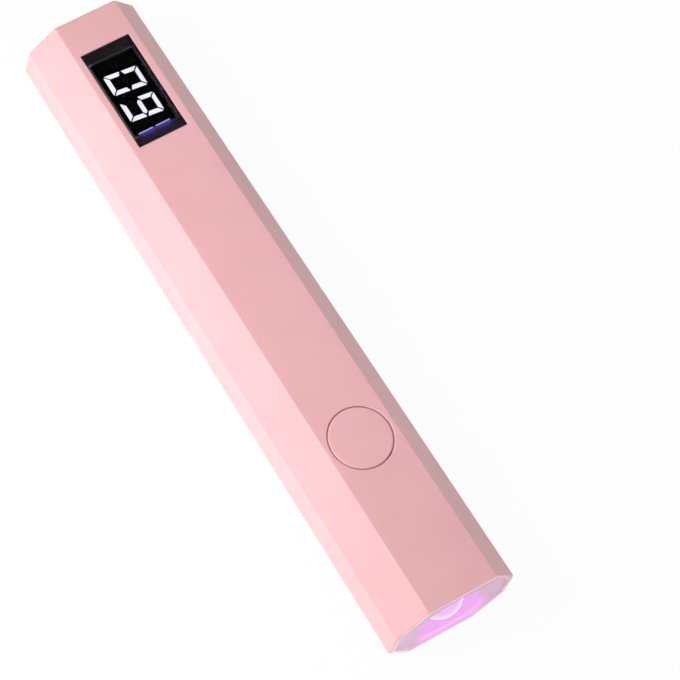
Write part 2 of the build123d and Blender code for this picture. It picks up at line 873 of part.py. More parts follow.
def make_sink_screws():
    screws = []
    for side in (-1, 1):
        y = side * sink_screw_y
        head = rod_x(bulkhead_x - screw_head_height, bulkhead_x, y, sink_screw_z,
                     screw_head_radius)
        shank = rod_x(bulkhead_x, heat_sink_back_x + sink_screw_length, y, sink_screw_z,
                      screw_radius)
        screws.append(head + shank)
    return screws


def make_emitter_base():
    half = emitter_size / 2
    return block(light_board_front_x, light_board_front_x + emitter_height, -half, half,
                 light_axis_z - half, light_axis_z + half)


def make_emitter_die():
    front = light_board_front_x + emitter_height
    half = die_size / 2
    return block(front, front + die_height, -half, half, light_axis_z - half,
                 light_axis_z + half)


def make_emitter_dome():
    """Soft clear dome moulded over the light source."""
    front = light_board_front_x + emitter_height
    return half_ball(front, silicone_radius) - make_emitter_die()


def sweep_lead(points):
    """Round lead along straight runs joined by tangent arcs as large as the runs allow."""
    corners = [Vector(*point) for point in points]
    radii = []
    for before, here, after in zip(corners, corners[1:], corners[2:]):
        run = min((here - before).length, (after - here).length)
        turn = (here - before).get_angle(after - here)
        radii.append(0.45 * run / math.tan(math.radians(turn / 2)))
    print("lead arc radii", [round(radius, 2) for radius in radii])
    route = FilletPolyline(*corners, radius=radii)
    section = Plane(origin=route @ 0, z_dir=route % 0) * Circle(lead_radius)
    return sweep(section, path=route)


def battery_lead(side):
    """From the protection board forward and up to the underside of the main board."""
    y = side * battery_lead_spread
    rise_x = guard_board_front_x + lead_radius + lead_slot_length / 2
    return sweep_lead([(guard_board_front_x, y, battery_middle_z),
                       (rise_x, y, battery_middle_z),
                       (rise_x, y, board_bottom_z)])


def light_lead(side):
    """From the main board over the heat sink to the front of the light board."""
    y = side * light_lead_spread
    high_z = light_axis_z + light_lead_height
    end_x = light_board_front_x + lead_radius
    return sweep_lead([(board_front_x - lead_pad_inset, y, board_top_z + lead_radius),
                       (board_front_x + lead_start_run, y, board_top_z + lead_radius),
                       (bulkhead_x, y, high_z),
                       (end_x, y, high_z),
                       (end_x, y, high_z - lead_pad_inset)])


lit_segments, dark_segments = make_segments()
save("barrel", make_barrel())
save("window_pane", make_window_pane())
save("window_mask", make_window_mask())
save("display_body", make_display_body(lit_segments + dark_segments))
save("lit_segments", *lit_segments)
save("dark_segments", *dark_segments)
save("display_pins", *make_display_pins())
save("button_cap", make_button_cap())
save("switch_base", make_switch_base())
save("switch_cover", make_switch_cover())
save("switch_plunger", make_switch_plunger())
save("switch_dome", make_switch_dome())
save("switch_legs", *make_switch_legs())
save("main_board", make_main_board())
save("board_screws", *[board_screw(x, y) for x, y in boss_points()])
save("carrier", make_carrier())
save("timer_chip", chip_body(board_x(timer_share), 0, timer_size))
save("charger_chip", chip_body(board_x(charger_share), 0, charger_size))
save("driver_chip", chip_body(board_x(driver_share), driver_y, driver_size))
save("chip_legs", *make_chip_legs())
save("coil_core", make_coil())
save("coil_winding", make_coil_winding())
save("chip_resistors", *passive_row(board_x(resistor_share), resistor_count,
                                    board_half_width - resistor_inset, resistor_size))
save("chip_capacitors", *passive_row(board_x(capacitor_share), capacitor_count,
                                     capacitor_inset - board_half_width, capacitor_size))
save("socket_shell", make_socket_shell())
save("socket_tongue", make_socket_tongue())
save("socket_contacts", *make_socket_contacts())
save("battery_cell", make_battery())
save("battery_tape", make_battery_tape())
save("battery_guard_board", make_guard_board())
save("foam_pad", make_foam_pad())
save("battery_lead_red", battery_lead(1))
save("battery_lead_black", battery_lead(-1))
save("light_lead_red", light_lead(1))
save("light_lead_black", light_lead(-1))
save("reflector", make_reflector())
save("dome_lens", make_dome_lens())
save("lens_spacer", make_lens_spacer())
save("emitter_base", make_emitter_base())
save("emitter_die", make_emitter_die())
save("emitter_dome", make_emitter_dome())
save("light_board", make_light_board())
save("light_board_screws", *make_light_screws())
save("thermal_pad", make_thermal_pad())
save("heat_sink", make_heat_sink())
save("heat_sink_screws", *make_sink_screws())
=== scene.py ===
# %% [markdown]
# # A handheld nail lamp, dressed for its picture
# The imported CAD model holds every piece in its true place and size. This lesson gives each piece the
# finish of the real one, rebuilds the pieces whose curves need more care than CAD facets give, and
# lights them like the photograph. Loading the frame comes first, because everything else is measured
# from it.

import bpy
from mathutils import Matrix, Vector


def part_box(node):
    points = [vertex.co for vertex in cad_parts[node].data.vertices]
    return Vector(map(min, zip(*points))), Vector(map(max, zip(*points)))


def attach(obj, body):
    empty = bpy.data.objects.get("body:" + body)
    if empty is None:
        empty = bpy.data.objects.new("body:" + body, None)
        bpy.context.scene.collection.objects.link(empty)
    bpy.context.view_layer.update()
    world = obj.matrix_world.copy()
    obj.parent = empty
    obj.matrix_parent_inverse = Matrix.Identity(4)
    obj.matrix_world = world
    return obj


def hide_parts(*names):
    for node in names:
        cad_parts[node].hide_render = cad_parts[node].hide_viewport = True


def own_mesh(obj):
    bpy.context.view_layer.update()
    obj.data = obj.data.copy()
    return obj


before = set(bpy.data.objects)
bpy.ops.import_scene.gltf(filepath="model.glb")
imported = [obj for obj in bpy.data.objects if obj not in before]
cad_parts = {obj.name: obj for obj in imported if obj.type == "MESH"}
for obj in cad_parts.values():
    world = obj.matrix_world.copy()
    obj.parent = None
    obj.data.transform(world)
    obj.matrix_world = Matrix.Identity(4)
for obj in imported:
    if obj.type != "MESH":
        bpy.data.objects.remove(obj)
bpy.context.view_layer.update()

# %% Tools and units
import math

import bmesh
import bpy
from mathutils import Matrix, Vector

MM = 0.001
print("sizes below are in units of", MM, "m")

# %% [markdown]
# ## Where things are
# A part that is dressed by measured places keeps fitting when the CAD changes.


# %% Places, in millimetres
def corners(node):
    """Lowest and highest corner of a CAD piece, in millimetres."""
    low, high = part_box(node)
    return low / MM, high / MM


barrel_low, barrel_high = corners("barrel")
cap_low, cap_high = corners("button_cap")
pane_low, pane_high = corners("window_pane")
lens_low, lens_high = corners("dome_lens")
board_low, board_high = corners("main_board")

TAPER = 0.115
length, light_end = barrel_high.x - barrel_low.x, barrel_high.x
top_slope = TAPER * barrel_high.z / length
light_axis_z = (lens_low.z + lens_high.z) / 2
button_x = (cap_low.x + cap_high.x) / 2
window_x = (pane_low.x + pane_high.x) / 2
print("light axis", round(light_axis_z, 2), "button", round(button_x, 2), "slope", round(top_slope, 4))

# %% The eight-sided section
# at the light end, before its edge is rounded off: the whole width and height, the top face's width
# and the side face's height, each halved
SECTION = (10.0, 8.5, 5.8, 3.0)


def section_scale(x):
    """The section's size at x, as a share of its size at the light end."""
    return 1 - TAPER * (light_end - x) / length


def top_z(x):
    """Height of the sloping top face at x."""
    return barrel_high.z * section_scale(x)


def outline(x, inset):
    """The eight corners of the section at x, moved in by the inset, as y and z."""
    half_width, half_height, half_top, half_side = (size * section_scale(x) for size in SECTION)
    slant = math.hypot(half_height - half_side, half_width - half_top)
    slant_y, slant_z = (half_height - half_side) / slant, (half_width - half_top) / slant
    reach = slant_y * half_top + slant_z * half_height - inset
    quarter = [(half_width - inset, (reach - slant_y * (half_width - inset)) / slant_z),
               ((reach - slant_z * (half_height - inset)) / slant_y, half_height - inset)]
    around = quarter + [(-y, z) for y, z in reversed(quarter)]
    around += [(-y, -z) for y, z in quarter] + [(y, -z) for y, z in reversed(quarter)]
    return [(y, z + half_height) for y, z in around]


print("corners at the light end", [(round(y, 1), round(z, 1)) for y, z in outline(light_end, 0)])

# %% [markdown]
# ## The camera
# The photograph is taken from high over the near side with a long lens, so the long edges run almost
# parallel and the light end comes nearest. The place, the lens and the tilt come from fitting the
# object's own corners to the photograph, since its length, width and height are known.

# %% Camera at the photograph's angle
CAMERA_PLACE = Vector((161.978, -210.418, 580.414))
CAMERA_TARGET = Vector((8.203, 8.402, 8.5))
CAMERA_LENS, SENSOR = 231.5, 36
CAMERA_ROLL = math.radians(24.68)


def in_scene(name, data):
    """A new object in the scene that holds a camera, a mesh or a lamp."""
    made = bpy.data.objects.new(name, data)
    bpy.context.collection.objects.link(made)
    return made


camera_data = bpy.data.cameras.new("photo_camera")
camera_data.lens, camera_data.sensor_width = CAMERA_LENS, SENSOR
camera_data.clip_start, camera_data.clip_end = 0.01, 10
camera = in_scene("photo_camera", camera_data)
bpy.context.scene.camera = camera
gaze = (CAMERA_TARGET - CAMERA_PLACE).to_track_quat("-Z", "Y").to_matrix()
turn = gaze @ Matrix.Rotation(CAMERA_ROLL, 3, "Z")
camera.matrix_world = Matrix.LocRotScale(CAMERA_PLACE * MM, turn.to_quaternion(), None)
print("camera", [round(x) for x in CAMERA_PLACE], "mm, lens", CAMERA_LENS, "mm")

# %% [markdown]
# ## Colours and nodes
# A shader wants linear light, while colours are read from a screen as sRGB hex codes, so one function
# turns one into the other. Another feeds a node's sockets, and the last adds a node with its settings.
# A feed may be a number, a hex code, another node's socket, or a whole node, which then gives the
# output that its settings have put in use.


# %% Helpers for every material
def linear(code):
    """An sRGB hex colour as linear red, green, blue and a full alpha."""
    parts = [int(code[i:i + 2], 16) / 255 for i in (1, 3, 5)]
    return tuple(p / 12.92 if p <= 0.04045 else ((p + 0.055) / 1.055) ** 2.4 for p in parts) + (1.0,)


def feed(tree, node, feeds):
    """Set the sockets of a node, each by a number, a hex code, a socket or a whole node."""
    for socket, value in feeds.items():
        if isinstance(value, bpy.types.Node):
            value = next(output for output in value.outputs if output.enabled)
        if isinstance(value, bpy.types.NodeSocket):
            tree.links.new(value, node.inputs[socket])
        else:
            is_colour = isinstance(value, str) and value.startswith("#")
            node.inputs[socket].default_value = linear(value) if is_colour else value


def add(tree, kind, feeds=None, **settings):
    """Add one node to a tree, with its settings and what feeds its sockets."""
    node = tree.nodes.new(kind)
    for name, value in settings.items():
        setattr(node, name, value)
    feed(tree, node, feeds or {})
    return node


def empty_tree(owner):
    """The node tree of a material or a world, cleared."""
    owner.use_nodes = True
    owner.node_tree.nodes.clear()
    return owner.node_tree


def new_material(name):
    """A new material, its empty node tree, and the place of each point in its object's own frame."""
    made = bpy.data.materials.new(name)
    tree = empty_tree(made)
    return made, tree, add(tree, "ShaderNodeTexCoord").outputs["Object"]


print("orange #FF8000 in linear light", [round(part, 3) for part in linear("#FF8000")])

# %% [markdown]
# ## One recipe for moulded, cast and rolled surfaces
# Most real finishes share three things: a colour that drifts a little in broad patches, a gloss that
# varies, and a fine relief left by the mould, the brush or the rollers. The recipe below takes each from
# a real size in millimetres. A stretch turns round grains into brush lines. The grain of a moulded or
# plated skin is often a hundredth of a millimetre, too fine to show, so the finest that is drawn here is
# 0.05 mm.


# %% The recipe
def finish(name, tones, patch, rough, grain, relief, stretch=(1, 1, 1), shader=None):
    """A finish with two tones in patches, and a grain in its gloss and height. Sizes are in mm."""
    made, tree, place = new_material(name)
    drawn = add(tree, "ShaderNodeVectorMath", {0: place, 1: stretch}, operation="MULTIPLY")
    broad = add(tree, "ShaderNodeTexNoise", {"Vector": drawn, "Scale": 1 / (patch * MM), "Detail": 2})
    fine = add(tree, "ShaderNodeTexNoise", {"Vector": drawn, "Scale": 1 / (grain * MM), "Detail": 3})
    steep = add(tree, "ShaderNodeMapRange", {0: broad, 1: 0.35, 2: 0.65})
    tone = add(tree, "ShaderNodeMix", {0: steep, 6: tones[0], 7: tones[1]}, data_type="RGBA")
    gloss = add(tree, "ShaderNodeMapRange", {0: fine, 3: rough[0], 4: rough[1]})
    bump = add(tree, "ShaderNodeBump", {"Height": fine, "Distance": relief * MM})
    surface = add(tree, "ShaderNodeBsdfPrincipled", {"Base Color": tone, "Roughness": gloss,
                                                     "Normal": bump, **(shader or {})})
    add(tree, "ShaderNodeOutputMaterial", {"Surface": surface})
    print("finish", name, "in patches of", patch, "mm with a grain of", grain, "mm")
    return made


def dress(material, *nodes):
    """Give CAD pieces their finish."""
    for node in nodes:
        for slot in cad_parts[node].material_slots:
            slot.material = material


# %% [markdown]
# ## Making pieces
# A new piece is written as points and faces in millimetres, like a CAD drawing, and scaled to metres once.
# Faces are turned to point outwards, and edges sharper than a set angle stay crisp while the rest is
# shaded smooth. Then the piece rides on a CAD body and stands for the CAD piece it replaces.


# %% From points to a riding piece
def shell_mesh(name, shells):
    """A mesh from shells of (points, faces) in millimetres, with its faces turned outwards."""
    shape = bmesh.new()
    for points, faces in shells:
        made = [shape.verts.new(Vector(point) * MM) for point in points]
        for face in faces:
            shape.faces.new([made[i] for i in face])
    bmesh.ops.recalc_face_normals(shape, faces=shape.faces)
    mesh = bpy.data.meshes.new(name)
    shape.to_mesh(mesh)
    shape.free()
    return mesh


def settle(name, mesh, material, stands_for, slot=None, body="root", crisp=32):
    """Put a finished mesh in the scene as a piece of the object."""
    mesh.name = name
    mesh.materials.clear()
    mesh.materials.append(material)
    mesh.shade_smooth()
    mesh.set_sharp_from_angle(angle=math.radians(crisp))
    made = in_scene(name, mesh)
    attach(made, body)
    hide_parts(stands_for)
    slot or material.name.split(".")[0]
    print(name, len(mesh.polygons), "faces")
    return made


def piece(name, shells, material, stands_for, **how):
    """One object from shells of (points, faces) in millimetres, riding on a body."""
    return settle(name, shell_mesh(name, shells), material, stands_for, **how)


# %% Rings, and faces between rings
def ring(reach, level, steps):
    """Points at even angles about z. The reach is a number, or a rule that gives one for an angle."""
    angles = [2 * math.pi * i / steps for i in range(steps)]
    reaches = [reach(angle) if callable(reach) else reach for angle in angles]
    return [(far * math.cos(angle), far * math.sin(angle), level) for far, angle in zip(reaches, angles)]


def rectangle(low, high, level, inset=0, per_side=1):
    """Points round a rectangle at a level, from corner to corner."""
    x0, y0, x1, y1 = low[0] + inset, low[1] + inset, high[0] - inset, high[1] - inset
    turns = [Vector((x, y, level)) for x, y in ((x0, y0), (x1, y0), (x1, y1), (x0, y1))]
    return [start.lerp(end, i / per_side)
            for start, end in zip(turns, turns[1:] + turns[:1]) for i in range(per_side)]


def lofted(rings, closed=False):
    """Faces between rings of points, with a face across each end, or else with the last ring joined
    to the first."""
    count = len(rings[0])
    points = [point for one in rings for point in one]
    faces = [] if closed else [tuple(range(count)), tuple(range(len(points) - count, len(points)))]
    for k in range(len(rings) if closed else len(rings) - 1):
        here, there = k * count, (k + 1) % len(rings) * count
        faces += [(here + i, here + (i + 1) % count, there + (i + 1) % count, there + i)
                  for i in range(count)]
    return points, faces


print("a plain block has", len(lofted([rectangle((0, 0), (1, 1), z) for z in (0, 1)])[1]), "faces")


# %% Turned shapes
def turned(profile, steps=96):
    """Points and faces of a profile of (radius, height) turned about z. Radius 0 ends in one point."""
    points, rings = [], []
    for radius, level in profile:
        made = ring(radius, level, steps) if radius > 0 else [(0, 0, level)]
        rings.append([len(points) + i for i in range(len(made))])
        points += made
    faces = []
    for low, high in zip(rings, rings[1:]):
        for i in range(steps):
            j = (i + 1) % steps
            four = (low[i % len(low)], low[j % len(low)], high[j % len(high)], high[i % len(high)])
            faces.append(list(dict.fromkeys(four)))
    return points, faces


def arc(centre_r, centre_h, radius, start, end, steps=8):
    """Points of a profile along an arc, from one angle to another in degrees."""
    angles = [math.radians(start + (end - start) * i / steps) for i in range(steps + 1)]
    return [(centre_r + radius * math.cos(a), centre_h + radius * math.sin(a)) for a in angles]


def moved(shell, place):
    """The same faces with every point put through a function."""
    points, faces = shell
    return [place(Vector(point)) for point in points], faces


print("a ball of 8 steps has", len(turned(arc(0, 0, 1, -90, 90), 8)[1]), "faces")

# %% [markdown]
# ## The pink barrel
# The real barrel is ABS, injection moulded in one piece. ABS from a satin mould gives an even, slightly
# soft pink with a broad sheen and no texture that the eye can pick out: only a very fine spark-eroded
# grain of about a tenth of a millimetre. ABS is a little translucent, which blurs its edges and lets the
# lamp's light seep through the thin rim at the light end. The CAD shape is already exact, so only its
# material changes.

# %% Moulded pink ABS
# satin ABS: a broad soft sheen, and light that goes about a third of a millimetre into the edges
SOFT_EDGE = {"IOR": 1.53, "Subsurface Weight": 0.35, "Subsurface Radius": (1.0, 0.5, 0.45),
             "Subsurface Scale": 0.35 * MM}
pink_abs = finish("moulded_pink_abs", ("#E7B2B6", "#E4AEB2"), patch=9, rough=(0.30, 0.37), grain=0.12,
                  relief=0.0012, shader=SOFT_EDGE)
dress(pink_abs, "barrel")

# %% [markdown]
# ## Painted light in the barrel
# Three places of the barrel get painted light. The rim's front and inner faces get the lamp's lilac light,
# painted into their colour and as a weak glow, more so at the bottom. Its outer edge gets a painted
# highlight, a bright line at the top. The walls of the groove round the button get painted light that
# stands for light passed through the plastic and lightens their shade. Each is picked out by where a point
# lies and which way it looks, and gets a weak painted light of its own, because real light would leave
# speckle in such small places.


# %% Which points of the barrel get painted light
def principled(tree):
    """The Principled shader of a material's tree."""
    return next(node for node in tree.nodes if node.type == "BSDF_PRINCIPLED")


# each pair is where a share begins and where it is whole: how far behind the light end, in mm, and how
# far a face's direction points along the barrel, as a cosine
RIM_FADE, EDGE_FADE = (2, 0.6), (0.17, 0.1)
LOOKS_OUT, LOOKS_ASLANT = (0.86, 0.94), (0.3, 0.5)
tree = pink_abs.node_tree
where = add(tree, "ShaderNodeSeparateXYZ", {0: add(tree, "ShaderNodeTexCoord").outputs["Object"]}).outputs
normal = add(tree, "ShaderNodeNewGeometry").outputs["Normal"]
looks = add(tree, "ShaderNodeSeparateXYZ", {0: normal}).outputs
near_end, foremost = (add(tree, "ShaderNodeMapRange", {0: where[0], 1: (light_end - start) * MM,
                                                       2: (light_end - whole) * MM})
                      for start, whole in (RIM_FADE, EDGE_FADE))
outward, slanting = (add(tree, "ShaderNodeMapRange", {0: looks[0], 1: start, 2: whole})
                     for start, whole in (LOOKS_OUT, LOOKS_ASLANT))
over_axis = add(tree, "ShaderNodeMath", {0: where[2], 1: light_axis_z * MM}, operation="SUBTRACT")
arm = add(tree, "ShaderNodeCombineXYZ", {1: where[1], 2: over_axis})
facing_in = add(tree, "ShaderNodeVectorMath", {0: normal, 1: arm}, operation="DOT_PRODUCT")
inward = add(tree, "ShaderNodeMapRange", {0: facing_in, 1: 0, 2: -1 * MM})
shows = add(tree, "ShaderNodeMath", {0: outward, 1: inward}, operation="MAXIMUM")
# rim: where the rim gets painted lamplight
rim = add(tree, "ShaderNodeMath", {0: near_end, 1: shows}, operation="MULTIPLY")
slanting = add(tree, "ShaderNodeMath", {0: slanting, 1: outward}, operation="SUBTRACT", use_clamp=True)
# edge: where the rim's outer edge gets a painted highlight
edge = add(tree, "ShaderNodeMath", {0: foremost, 1: slanting}, operation="MULTIPLY")
print("the rim glows over the last", RIM_FADE[0], "mm, its edge over the last", EDGE_FADE[0], "mm")

# %% How strong the painted light is
# the painted lamplight of the rim and the painted highlight of its edge: from a height in mm and its
# strength there to a second such pair
RIM_LIGHT, EDGE_LIGHT = ((1, 0.30), (15, 0.04)), ((12, 0.04), (15, 0.24))
GROOVE_LIGHT, GROOVE = 0.05, 0.2
cap_radius = (cap_high.y - cap_low.y) / 2
shader = principled(tree)
pink = shader.inputs["Base Color"].links[0].from_socket
# the rim's colour turns lilac here: painted lamplight, not the plastic's own colour
rim_lamplight_tone = add(tree, "ShaderNodeMix", {0: rim, 6: pink, 7: "#DAB0CB"}, data_type="RGBA")
rim_light, edge_light = (
    add(tree, "ShaderNodeMapRange", {0: where[2], 1: low * MM, 2: high * MM, 3: there, 4: above})
    for (low, there), (high, above) in (RIM_LIGHT, EDGE_LIGHT))
light = add(tree, "ShaderNodeMath", {0: rim_light, 1: rim}, operation="MULTIPLY")
light = add(tree, "ShaderNodeMath", {0: edge, 1: edge_light, 2: light}, operation="MULTIPLY_ADD")
# painted light on the walls of the groove round the button, lightening their shade
flat = add(tree, "ShaderNodeCombineXYZ", {0: where[0], 1: where[1]})
from_button = add(tree, "ShaderNodeVectorMath", {0: flat, 1: (button_x * MM, 0, 0)}, operation="DISTANCE")
in_groove = add(tree, "ShaderNodeMath", {0: from_button, 1: (cap_radius + GROOVE) * MM},
                operation="LESS_THAN")
light = add(tree, "ShaderNodeMath", {0: in_groove, 1: GROOVE_LIGHT, 2: light}, operation="MULTIPLY_ADD")
feed(tree, shader, {"Base Color": rim_lamplight_tone, "Emission Strength": light, "Emission Color": "#F6F0FC"})
print("barrel dressed in", pink_abs.name, "with a groove of radius", round(cap_radius + GROOVE, 2))

# %% [markdown]
# ## The push button
# The cap is moulded from the same ABS, but in its own mould, so its gloss differs by a hair. It is a
# turned shape with a cut in its underside: a disc with a small rounded rim, a skirt, and a stem that
# meets the switch. The profile is turned round the button's axis, and the top is then tilted to run
# flush with the sloping top face. Two ears hold it under the barrel's wall. It rides on the body that
# travels, so it goes down at the pressed pose.

# %% The cap's profile and ears
CAP_RIM, CAP_WALL, CAP_TOP_WALL = 0.3, 1, 1.1
STEM, STEM_EDGE = 1.6, 0.1
EAR_HEIGHT, EAR_HALF, EAR_ROOT = 0.8, 3.5, 0.6
cap_top = top_z(button_x)
cap_inside = cap_top - CAP_TOP_WALL
stem_low = corners("switch_plunger")[1].z + 0.02
ear_low, ear_high = cap_low.z, cap_low.z + EAR_HEIGHT


def tilted(point):
    """Lift points near the top face so that they follow its slope."""
    share = max(0.0, (point.z - ear_high) / (cap_top - ear_high))
    return (point.x + button_x, point.y, point.z + share * top_slope * point.x)


cap_profile = [(0, cap_top)] + [(r, cap_top) for r in (STEM, 2 * STEM, cap_radius - 2 * CAP_RIM)]
cap_profile += arc(cap_radius - CAP_RIM, cap_top - CAP_RIM, CAP_RIM, 90, 0, 5)
cap_profile += [(cap_radius, cap_low.z), (cap_radius - CAP_WALL, cap_low.z),
                (cap_radius - CAP_WALL, cap_inside), (STEM, cap_inside), (STEM, stem_low + STEM_EDGE),
                (STEM - STEM_EDGE, stem_low), (0, stem_low)]
ear_root = cap_radius - EAR_ROOT
ears = [lofted([rectangle((start, -EAR_HALF), (end, EAR_HALF), level) for level in (ear_low, ear_high)])
        for start, end in ((cap_low.x - button_x, -ear_root), (ear_root, cap_high.x - button_x))]
print("cap of radius", round(cap_radius, 2), "and height", round(cap_top - cap_low.z, 2))

# %% Button cap
# the same satin ABS: its skirt gets a little painted light in the groove, as the barrel's wall does
SKIRT_FADE = (0.75, 0.85)
button_abs = finish("moulded_pink_abs_button", ("#E7B2B6", "#E5AFB3"), patch=5, rough=(0.29, 0.36),
                    grain=0.12, relief=0.0012, shader=SOFT_EDGE)
tree = button_abs.node_tree
height = add(tree, "ShaderNodeSeparateXYZ", {0: add(tree, "ShaderNodeTexCoord").outputs["Object"]})
skirt_light = add(tree, "ShaderNodeMapRange", {
    0: height.outputs[2], 1: (cap_top - SKIRT_FADE[0]) * MM, 2: (cap_top - SKIRT_FADE[1]) * MM,
    4: GROOVE_LIGHT})
feed(tree, principled(tree), {"Emission Strength": skirt_light, "Emission Color": "#FFE0E4"})
piece("button_cap_moulded", [moved(shell, tilted) for shell in [turned(cap_profile)] + ears],
      button_abs, "button_cap", slot="pink_abs_button", body="button")

# %% [markdown]
# ## The display window
# Three layers make the window. A pane of smoked acrylic lies flush in its seat. Under it lies a printed
# film, nearly black, whose opening frames the digits, and whose cut edge slopes and gets a thin grey
# painted highlight. Below both is the display module, cast in black epoxy, with strokes that glow. The film
# is a ring of four-sided loops, so it is written as loops on the sloping top face. Its finish knows how far
# each point is from the opening, and so it can paint the lip's highlight, and the blue-violet light that
# leaks under its edge beside the last bar.

# %% The film's ring
OPENING_HALF = (6.25, 3.475)
FILM_TOP, FILM_BOTTOM, LIP_FOOT = 0.601, 0.7, 0.01
LIP = 0.34
opening_x, opening_y = OPENING_HALF
film_half = ((pane_high.x - pane_low.x) / 2, (pane_high.y - pane_low.y) / 2)
lip_half = (opening_x + LIP, opening_y + LIP)
lid_cos, lid_sin = math.cos(math.atan(top_slope)), math.sin(math.atan(top_slope))


def lid_loop(half, depth):
    """A rectangle in the top face's own plane about the window, at a depth under it."""
    return [(window_x + x * lid_cos + depth * lid_sin, y, top_z(window_x) + x * lid_sin - depth * lid_cos)
            for x, y, z in rectangle((-half[0], -half[1]), half, 0)]


film_loops = [lid_loop(half, depth) for half, depth in (
    (film_half, FILM_TOP), (lip_half, FILM_TOP), (OPENING_HALF, FILM_BOTTOM - LIP_FOOT),
    (OPENING_HALF, FILM_BOTTOM), (film_half, FILM_BOTTOM))]
print("film", [round(2 * half, 2) for half in film_half], "round an opening", OPENING_HALF)

# %% The printed tone and the lip's painted highlight
# polyester film printed black from behind: near black with a warm cast that turns violet towards the bar's
# end, painted light from the bar; dull, faintly dusty. Its cut edge gets a painted highlight that goes
# from black at its foot to grey, lightest along the near side
LIP_CURVE, NEAR_LIP = 2.2, (-3.0, -3.5)
film, tree, place = new_material("printed_film")
centred = add(tree, "ShaderNodeVectorMath", {0: place, 1: (window_x * MM, 0, 0)}, operation="SUBTRACT")
middle = add(tree, "ShaderNodeSeparateXYZ", {0: centred}).outputs
folded = add(tree, "ShaderNodeVectorMath", {0: centred}, operation="ABSOLUTE")
outside = add(tree, "ShaderNodeVectorMath", {0: folded, 1: (opening_x * MM, opening_y * MM, 1)},
              operation="SUBTRACT")
sides = add(tree, "ShaderNodeSeparateXYZ", {0: outside}).outputs
from_edge = add(tree, "ShaderNodeMath", {0: sides[0], 1: sides[1]}, operation="MAXIMUM")
on_lip = add(tree, "ShaderNodeMath", {0: from_edge, 1: (LIP + 0.01) * MM}, operation="LESS_THAN")
# how far across the lip a point lies, for its painted highlight
lip = add(tree, "ShaderNodeMapRange", {0: from_edge, 1: 0.0, 2: LIP * MM})
lip = add(tree, "ShaderNodeMath", {0: lip, 1: LIP_CURVE}, operation="POWER")
nearer = add(tree, "ShaderNodeMapRange", {0: middle[1], 1: NEAR_LIP[0] * MM, 2: NEAR_LIP[1] * MM})
lip_highlight_grey = add(tree, "ShaderNodeMix", {0: nearer, 6: "#504B50", 7: "#908B92"}, data_type="RGBA")
lip_highlight_tone = add(tree, "ShaderNodeMix", {0: lip, 6: "#060507", 7: lip_highlight_grey}, data_type="RGBA")
# the print's own near black, turning violet towards the bar's end: painted light from the bar
along = add(tree, "ShaderNodeMapRange", {0: middle[0], 1: -opening_x * MM, 2: opening_x * MM})
print_and_leak_tone = add(tree, "ShaderNodeMix", {0: along, 6: "#22191B", 7: "#291B32"}, data_type="RGBA")
tone = add(tree, "ShaderNodeMix", {0: on_lip, 6: print_and_leak_tone, 7: lip_highlight_tone}, data_type="RGBA")
print("the lip is", LIP, "mm wide")

# %% The light that leaks under the film
# in mm: the bar's middle, the light's reach past the opening, and, from the bar's middle, where the
# light fades at the bar's ends and where it comes back beside the gap between the halves
BARS_Y, LEAK_REACH, BAR_ENDS, BAR_GAP = -0.1, 1.3, (2.3, 2.9), (0.05, 0.35)
LEAK_LIGHT, GAP_LIGHT = 0.93, 0.55
beside_bar = add(tree, "ShaderNodeMapRange", {
    0: middle[0], 1: opening_x * MM, 2: (opening_x + LEAK_REACH) * MM, 3: LEAK_LIGHT, 4: 0})
from_bars = add(tree, "ShaderNodeMath", {0: middle[1], 1: BARS_Y * MM}, operation="SUBTRACT")
from_bars = add(tree, "ShaderNodeMath", {0: from_bars}, operation="ABSOLUTE")
bar_ends, between = (
    add(tree, "ShaderNodeMapRange", {0: from_bars, 1: start * MM, 2: end * MM, 3: first, 4: last})
    for (start, end), first, last in ((BAR_ENDS, 1, 0), (BAR_GAP, GAP_LIGHT, 1)))
beside = add(tree, "ShaderNodeMath", {0: bar_ends, 1: between}, operation="MULTIPLY")
leak = add(tree, "ShaderNodeMath", {0: beside_bar, 1: beside}, operation="MULTIPLY")
leak = add(tree, "ShaderNodeMath", {0: leak, 1: 2}, operation="POWER")
only_side = add(tree, "ShaderNodeMath", {0: middle[0], 1: 0.0}, operation="GREATER_THAN")
leak = add(tree, "ShaderNodeMath", {0: leak, 1: only_side}, operation="MULTIPLY")
dust = add(tree, "ShaderNodeTexNoise", {"Vector": place, "Scale": 1 / (0.4 * MM), "Detail": 3})
gloss = add(tree, "ShaderNodeMapRange", {0: dust, 3: 0.35, 4: 0.55})
surface = add(tree, "ShaderNodeBsdfPrincipled", {
    "Base Color": tone, "Roughness": gloss, "Specular IOR Level": 0.1,
    "Emission Color": "#5544BE", "Emission Strength": leak})
add(tree, "ShaderNodeOutputMaterial", {"Surface": surface})
piece("window_film", [lofted(film_loops, closed=True)], film, "window_mask", slot="mask_film", crisp=1)

# %% Smoked pane and black module
# cast acrylic, smoked: clear, very smooth and a little grey. Its index is set low, because the
# photograph shows neither the room in it nor the digits moved by it
dress(finish("smoked_acrylic", ("#E4E2E6", "#DEDCE2"), patch=4, rough=(0.02, 0.05), grain=1.5,
             relief=0.0005, shader={"Transmission Weight": 1.0, "IOR": 1.06}), "window_pane")
# epoxy cast black: dull, and so dark that it swallows what light gets under the pane
dress(finish("cast_black_epoxy", ("#020203", "#040405"), patch=2, rough=(0.6, 0.7), grain=0.08,
             relief=0.001, shader={"Specular IOR Level": 0.005}), "display_body")
# a diffuser of milky epoxy that isn't lit: black behind the smoked pane, like the module round it
dress(finish("unlit_diffuser", ("#040406", "#060609"), patch=1, rough=(0.6, 0.7), grain=0.05,
             relief=0.001, shader={"Specular IOR Level": 0.02}), "dark_segments")


